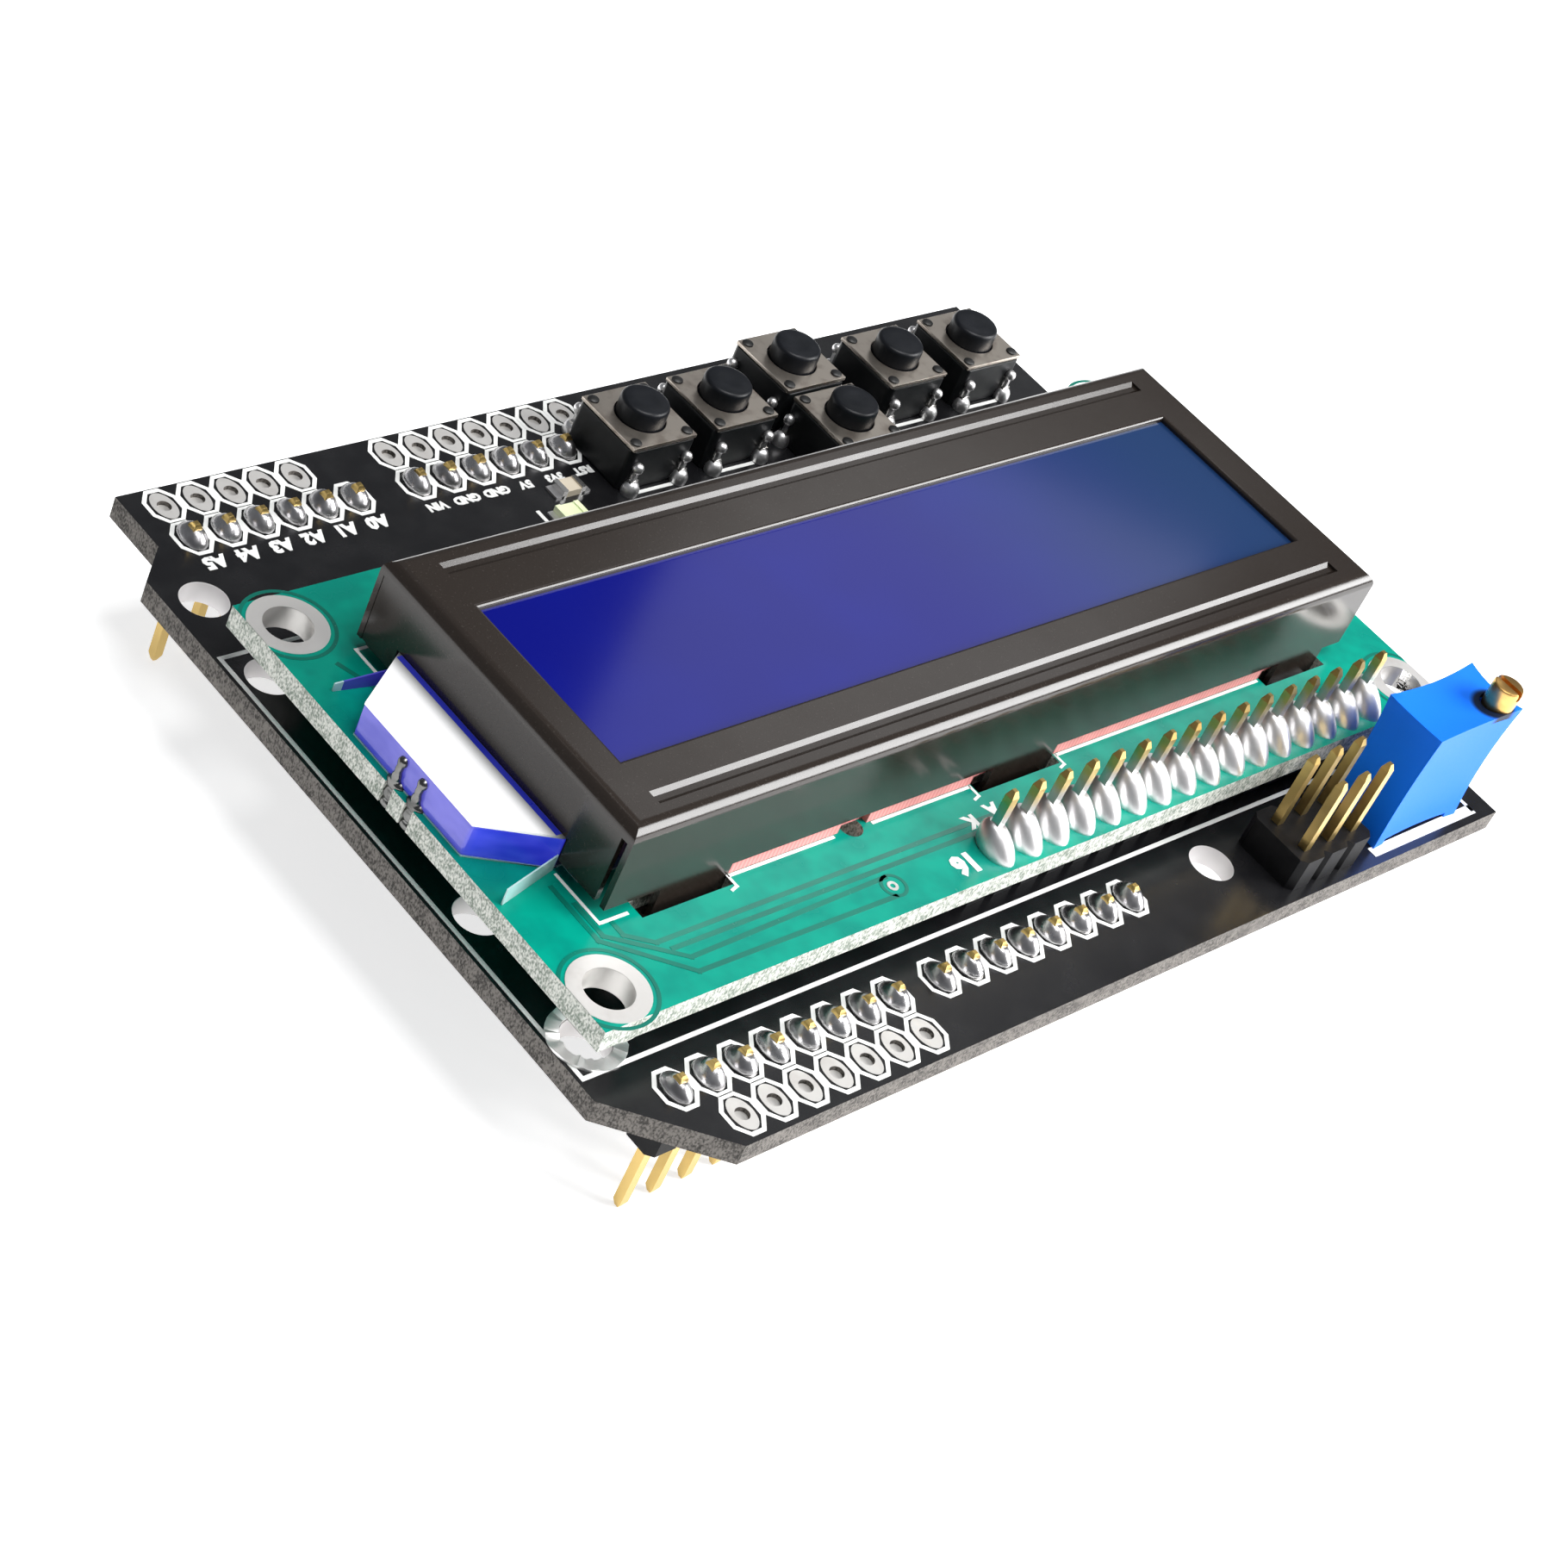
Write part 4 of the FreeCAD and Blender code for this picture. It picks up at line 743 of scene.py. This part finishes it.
# %% White print on the green board
bm = bmesh.new()
EDGE_Y = 14.72
CORNER = 34.8
BACK_Y = -8.9
line(bm, [(CORNER, 10.7), (CORNER, EDGE_Y), (32.7, EDGE_Y)], 0.22, LCD_TOP, PRINT)
for start, end in ((24.6, 15.9), (12.4, 3.7), (-4.7, -25.6)):
    line(bm, [(start, EDGE_Y), (end, EDGE_Y)], 0.22, LCD_TOP, PRINT)
for end_x in (24.7, 3.6, -4.6):
    hook = [(end_x, EDGE_Y), (end_x, EDGE_Y + 0.85), (end_x + 0.5, EDGE_Y + 1.0)]
    line(bm, hook, 0.2, LCD_TOP, PRINT)
line(bm, [(CORNER, -4.2), (CORNER, BACK_Y), (32.7, BACK_Y)], 0.22, LCD_TOP, PRINT)
lettering(bm, "16", 8.9, 19.7, LCD_TOP, 2.0)
lettering(bm, "K", 5.8, 17.1, LCD_TOP, 1.4)
lettering(bm, "A", 3.6, 16.8, LCD_TOP, 1.4)
piece("display_print", bm, print_white)

# %% [markdown]
# Sheet metal and mouldings never have knife edges. A copy of each such solid is merged and stands
# for the plain one. Most copies get their sharp edges rounded by a tenth of a millimetre or so; the
# bezel's and the chip blob's copies are only shaded smoothly.


# %% Rounded copies
def rounded(node, edge):
    """The solid of a node in millimetres, with its sharp edges rounded where edge isn't 0."""
    bm = solid_mm(node)
    bmesh.ops.remove_doubles(bm, verts=bm.verts, dist=1e-3)
    if edge:
        bmesh.ops.dissolve_limit(bm, angle_limit=math.radians(1), verts=bm.verts, edges=bm.edges)
        sharp = [item for item in bm.edges if item.calc_face_angle(0.0) > SHARP]
        bmesh.ops.bevel(bm, geom=sharp, offset=edge, affect="EDGES", segments=2, profile=0.5,
                        material=-1, clamp_overlap=True)
    return bm


def rounded_copy(node, finish, edge, crisp=SHARP):
    """A piece that stands for a solid, with its sharp edges rounded where edge isn't 0."""
    bm = rounded(node, edge)
    piece(node + "_rounded", bm, finish, replaces=(node,), crisp=crisp)


rounded_copy("bezel", finishes["black_sheet"], 0, math.radians(25))
rounded_copy("chip_blobs", finishes["black_resin"], 0)
rounded_copy("light_guide", finishes["light_guide"], 0.12)
for key in KEYS:
    rounded_copy(key + "_key_housing", finishes["key_plastic"], 0.14)
    rounded_copy(key + "_key_cover", finishes["key_cover"], 0.06)

# %% [markdown]
# The trimmer's case has shrunk between its corners while the plastic cooled, so its edges bow in by
# four tenths of a millimetre. Planes cut the copy into a grid, and then every point of the grid
# moves inwards by how far it is from the corners. Painted shade darkens the moulding round the
# screw, where the case has a well.

# %% Trimmer case that bows in
BOW = 0.42
GRID = 8
WELL, WELL_FLOOR, WELL_DEEP = 1.75, 1.25, 0.7
bm = rounded("trimmer_body", 0.12)
middle, half = (trim_low + trim_high) / 2, (trim_high - trim_low) / 2
for axis in range(3):
    for step in range(1, GRID):
        spot, way = Vector((0, 0, 0)), Vector((0, 0, 0))
        spot[axis] = trim_low[axis] + 2 * half[axis] * step / GRID
        way[axis] = 1
        bmesh.ops.bisect_plane(bm, geom=bm.verts[:] + bm.edges[:] + bm.faces[:], plane_co=spot, plane_no=way)
for vert in bm.verts:
    share = Vector([(vert.co[axis] - middle[axis]) / half[axis] for axis in range(3)])
    for axis in range(3):
        others = [share[other] ** 2 for other in range(3) if other != axis]
        pull = BOW * (1 - sum(others) / 2) if axis < 2 or share.z > 0 else 0.0
        vert.co[axis] -= share[axis] * pull
well = (box_mm("trimmer_screw")[0] + box_mm("trimmer_screw")[1]) / 2
off_x = case_blue.along("X") - (well.x + 0.55) * MM
off_y = case_blue.along("Y") - (well.y - 0.05) * MM
near_screw = case_blue.step(off_x * off_x + off_y * off_y, (WELL * MM) ** 2, (WELL_FLOOR * MM) ** 2)
# Painted shade in the well round the screw: the blue turns near black there.
well_shade = near_screw * (case_blue.along("Z") > (trim_high.z - WELL_DEEP) * MM)
case_blue.feed("Base Color", case_blue.mix(well_shade, (0.004, 0.16, 0.85), (0.0, 0.008, 0.03)))
piece("bowed_trimmer_body", bm, finishes["blue_plastic"], replaces=("trimmer_body",))

# %% [markdown]
# The header pins were pushed home before soldering, so only short tips stand out of the joints.
# Each row is a copy of its solid, with the points above the board drawn down towards the joints.

# %% Short pin tips
TIP_SHARE = 0.54
for row in ROWS:
    bm = solid_mm(row + "_pins")
    for vert in bm.verts:
        if vert.co.z > TOP + 0.5:
            vert.co.z = TOP + 0.5 + (vert.co.z - TOP - 0.5) * TIP_SHARE
    piece(row + "_short_pins", bm, finishes["gold_pins"], replaces=(row + "_pins",))

# %% [markdown]
# The film under the backlight ends in two ears. The back one stands straight, and the front one
# leans out to the board's end. A copy of the solid with a few points moved does that.

# %% Film ears
EAR_X, EAR_TIP = 36.0, 39.4
FRONT_EAR, BACK_EAR = 10.0, -5.7
bm = solid_mm("backlight_film")
for vert in bm.verts:
    upper = vert.co.z > LCD_TOP + 0.2
    if vert.co.x > EAR_X and vert.co.y > FRONT_EAR:
        vert.co = (EAR_TIP, vert.co.y + 1.1, LCD_TOP + 1.25 if upper else LCD_TOP)
    elif vert.co.x > EAR_X and vert.co.y < BACK_EAR:
        vert.co.y -= 0.6
piece("leaning_film", bm, finishes["pale_film"], replaces=("backlight_film",))

# %% [markdown]
# Two thin strips finish the bezel's end. Where the white sheet goes under the bezel, the glass
# edge shows as a deep blue line. At the back corner the two folds meet, so a narrow bar of the
# same painted sheet closes the seam.

# %% Blue line and closed corner
bm = bmesh.new()
bar(bm, (34.98, -5.5), (34.98, 9.9), 0.4, box_mm("diffuser_sheet")[1].z, 0.02, 0)
blue_line = moulding("deep blue edge", (0.02, 0.03, 0.45), (0.04, 0.05, 0.55), 0.3, 0.5)
piece("blue_edge", bm, blue_line)
bm = bmesh.new()
bezel_low, bezel_high = box_mm("bezel")
bar(bm, (bezel_high.x - 0.36, bezel_low.y + 0.66), (bezel_high.x - 0.04, bezel_low.y + 0.66), 0.56,
    LCD_TOP + 0.95, 5.2, 0)
piece("closed_corner", bm, finishes["black_sheet"])

# %% [markdown]
# The shield's screw holes were drilled through bright laminate, and light from the table fills them.
# A thin pale lining in each hole paints both the laminate's own tone and the light from the table.

# %% Bright hole walls
SHIELD_HOLES = [(37.46, -19.18), (37.46, 8.76), (-13.34, 24.0)]
bm = bmesh.new()
for x, y in hole_spots + SHIELD_HOLES:
    ring(bm, (x, y, UNDER + 0.02), (HOLE, HOLE), (LINING, LINING), TOP - UNDER - 0.04, 40)
piece("hole_walls", bm, laminate_and_table_light)

# %% [markdown]
# The power lamp and its resistor have no legs. Each end sits in a low bar of solder on the board.

# %% Solder at the lamp and the resistor
bm = bmesh.new()
for node in ("power_lamp", "lamp_resistor"):
    low, high = box_mm(node)
    for x in (low.x - 0.15, high.x + 0.15):
        bar(bm, (x, low.y), (x, high.y), 0.7, TOP, 0.16, 0)
piece("chip_solder", bm, finishes["solder"])

# %% [markdown]
# A key's plunger is a turned form with a soft rim. Its cover plate is held by four black pegs of the
# housing, melted over into flat dots near the corners.

# %% Plungers and pegs
STEM, RIM, FLANGE, NUB = 1.75, 0.3, 2.25, 1.0
PEG_OUT = 2.35
pegs = bmesh.new()
peg = turned([(0.0, 0.0), (0.42, 0.0), (0.40, 0.1), (0.28, 0.18), (0.0, 0.2)], 16)
for key in KEYS:
    low, high = box_mm(key + "_key_plunger")
    middle = (low + high) / 2
    lid = box_mm(key + "_key_housing")[1].z
    profile = [(0.0, low.z), (NUB, low.z), (NUB, lid - 0.8), (FLANGE, lid - 0.8), (FLANGE, lid), (STEM, lid),
               (STEM, high.z - RIM)]
    profile += [(STEM - RIM + RIM * math.cos(turn), high.z - RIM + RIM * math.sin(turn))
                for turn in (math.radians(30), math.radians(60), math.radians(90))]
    profile += [(0.7, high.z), (0.0, high.z - 0.05)]
    bm = bmesh.new()
    stamp(bm, turned(profile, 40), Matrix.Translation((middle.x, middle.y, 0)))
    piece(key + "_round_plunger", bm, finishes["key_plunger"], key + "_button",
          (key + "_key_plunger",))
    plate = box_mm(key + "_key_cover")[1].z
    for x in (-PEG_OUT, PEG_OUT):
        for y in (-PEG_OUT, PEG_OUT):
            stamp(pegs, peg, Matrix.Translation((middle.x + x, middle.y + y, plate)))
piece("cover_pegs", pegs, black_dot)

# %% [markdown]
# The trimmer's screw is turned brass with a saw-cut slot. A boolean with a thin block cuts the slot
# as a saw does, and keeps the round wall clean. The result is stored, so no modifier is left.

# %% Trimmer screw
low, high = box_mm("trimmer_screw")
middle = (low + high) / 2
SCREW = 1.1
profile = [(0.0, low.z), (SCREW, low.z), (SCREW, high.z - 0.2), (SCREW - 0.06, high.z - 0.06),
           (SCREW - 0.2, high.z), (0.0, high.z)]
bm = bmesh.new()
stamp(bm, turned(profile, 40), Matrix.Translation((middle.x, middle.y, 0)))
screw = piece("round_screw", bm, finishes["brass"], "contrast_screw", ("trimmer_screw",))
cutter = bmesh.new()
bmesh.ops.create_cube(cutter, size=1.0, matrix=Matrix.Translation((middle.x * MM, middle.y * MM, high.z * MM))
                      @ Matrix.Diagonal((0.45 * MM, 4 * MM, 1.2 * MM, 1)))
blade = bpy.data.meshes.new("blade")
cutter.to_mesh(blade)
cutter.free()
saw = bpy.data.objects.new("blade", blade)
bpy.context.scene.collection.objects.link(saw)
slot = screw.modifiers.new("slot", "BOOLEAN")
slot.object = saw
slot.solver = "EXACT"
depsgraph = bpy.context.evaluated_depsgraph_get()
cut = bpy.data.meshes.new_from_object(screw.evaluated_get(depsgraph))
screw.modifiers.clear()
screw.data = cut
bpy.data.objects.remove(saw)
print("slot cut,", len(cut.polygons), "faces")

# %% [markdown]
# The backlight's lamp hangs on two tinned leads that drop through notches in the board's edge, each
# drowned in a lump of solder. A few balls of different sizes are welded into one skin by voxels,
# which gives the soft, uneven form. Rough solder also rings the board hole under the front corner.

# %% Lumps of solder
lump = bmesh.new()
low, high = box_mm("backlight_leads")
LUMPS = [((-0.85, 1.85), (0.38, 0.44, 0.34)), ((-0.52, 1.68), (0.38, 0.40, 0.36)),
         ((-0.36, 1.18), (0.26, 0.26, 0.45)), ((-0.36, 0.6), (0.30, 0.34, 0.45)),
         ((-0.62, 0.0), (0.56, 0.80, 0.42)), ((-0.48, -0.75), (0.44, 0.62, 0.55)),
         ((-0.56, -1.5), (0.52, 0.66, 0.42))]
for y in (low.y + 0.25, high.y - 0.25):
    for (x, z), size in LUMPS:
        matrix = Matrix.Translation((high.x + x, y, LCD_TOP + z)) @ Matrix.Diagonal((*size, 1))
        bmesh.ops.create_icosphere(lump, subdivisions=3, radius=1.0, matrix=matrix)
# The lumps are a darker copy of the solder.
dark_lead = metal("dark lead solder", (0.17, 0.17, 0.165), (0.07, 0.07, 0.068), 0.26, 0.3, 0.03)
lumps = piece("lead_solder", lump, dark_lead, replaces=("backlight_leads",))
lumps.modifiers.clear()
weld = lumps.modifiers.new("weld", "REMESH")
weld.mode = "VOXEL"
weld.voxel_size = 0.1 * MM
weld.use_smooth_shade = True
soften = lumps.modifiers.new("soften", "SMOOTH")
soften.iterations = 5
rough = bmesh.new()
ring(rough, (37.5, 18.9, TOP), (2.46, 2.46), (1.62, 1.62), 0.12, 48)
random.seed(11)
for vert in rough.verts:
    if vert.co.z > TOP + 0.1:
        vert.co.z += random.uniform(-0.06, 0.16)
blotched = metal("blotched tin", (0.90, 0.89, 0.88), (0.22, 0.22, 0.22), 0.5, 0.9, 0.05)
piece("rough_hole_ring", rough, blotched)

# %% [markdown]
# The table is white and bright, so the far background has no tone. A large soft lamp stands to the
# right and behind, where the photograph's highlights come from, and a second one hangs overhead. A
# small one hangs where the window mirrors it. The room is otherwise dim, so that metals have
# something dark to mirror.

# %% Table, lamps and room
floor_mesh = bpy.data.meshes.new("table")
bm = bmesh.new()
bmesh.ops.create_circle(bm, cap_ends=True, segments=64, radius=4.0)
bm.to_mesh(floor_mesh)
bm.free()
table = bpy.data.objects.new("table", floor_mesh)
bpy.context.scene.collection.objects.link(table)
table_white = Finish("white table", (0.82, 0.82, 0.82), 0.6, Emission_Color=(1.0, 1.0, 1.0, 1.0),
                     Emission_Strength=0.72)
table_white.feed("Roughness", table_white.noise(40.0) * 0.1 + 0.55)
floor_mesh.materials.append(table_white.material)


def lamp_at(name, spot, target, size, power):
    """A soft rectangular lamp at a spot, turned to its target."""
    light = bpy.data.lights.new(name, "AREA")
    light.shape = "RECTANGLE"
    light.size, light.size_y = size
    light.energy = power
    holder = bpy.data.objects.new(name, light)
    turn = (Vector(spot) - Vector(target)).to_track_quat("Z", "Y")
    holder.matrix_world = Matrix.Translation(spot) @ turn.to_matrix().to_4x4()
    bpy.context.scene.collection.objects.link(holder)


lamp_at("key_lamp", (-0.49, 0.46, 0.37), (0, 0, 0.015), (0.52, 0.52), 12.0)
lamp_at("top_lamp", (0.0, 0.15, 0.9), (0, 0, 0), (0.5, 0.5), 7.0)
lamp_at("window_lamp", (-0.335, -0.195, 0.320), (0.01, 0.01, 0.02), (0.10, 0.12), 0.042)
room = bpy.context.scene.world or bpy.data.worlds.new("room")
bpy.context.scene.world = room
room.use_nodes = True
room.node_tree.nodes["Background"].inputs["Color"].default_value = (0.9, 0.94, 1.0, 1.0)
room.node_tree.nodes["Background"].inputs["Strength"].default_value = 0.16
bpy.context.scene.view_settings.view_transform = "Standard"
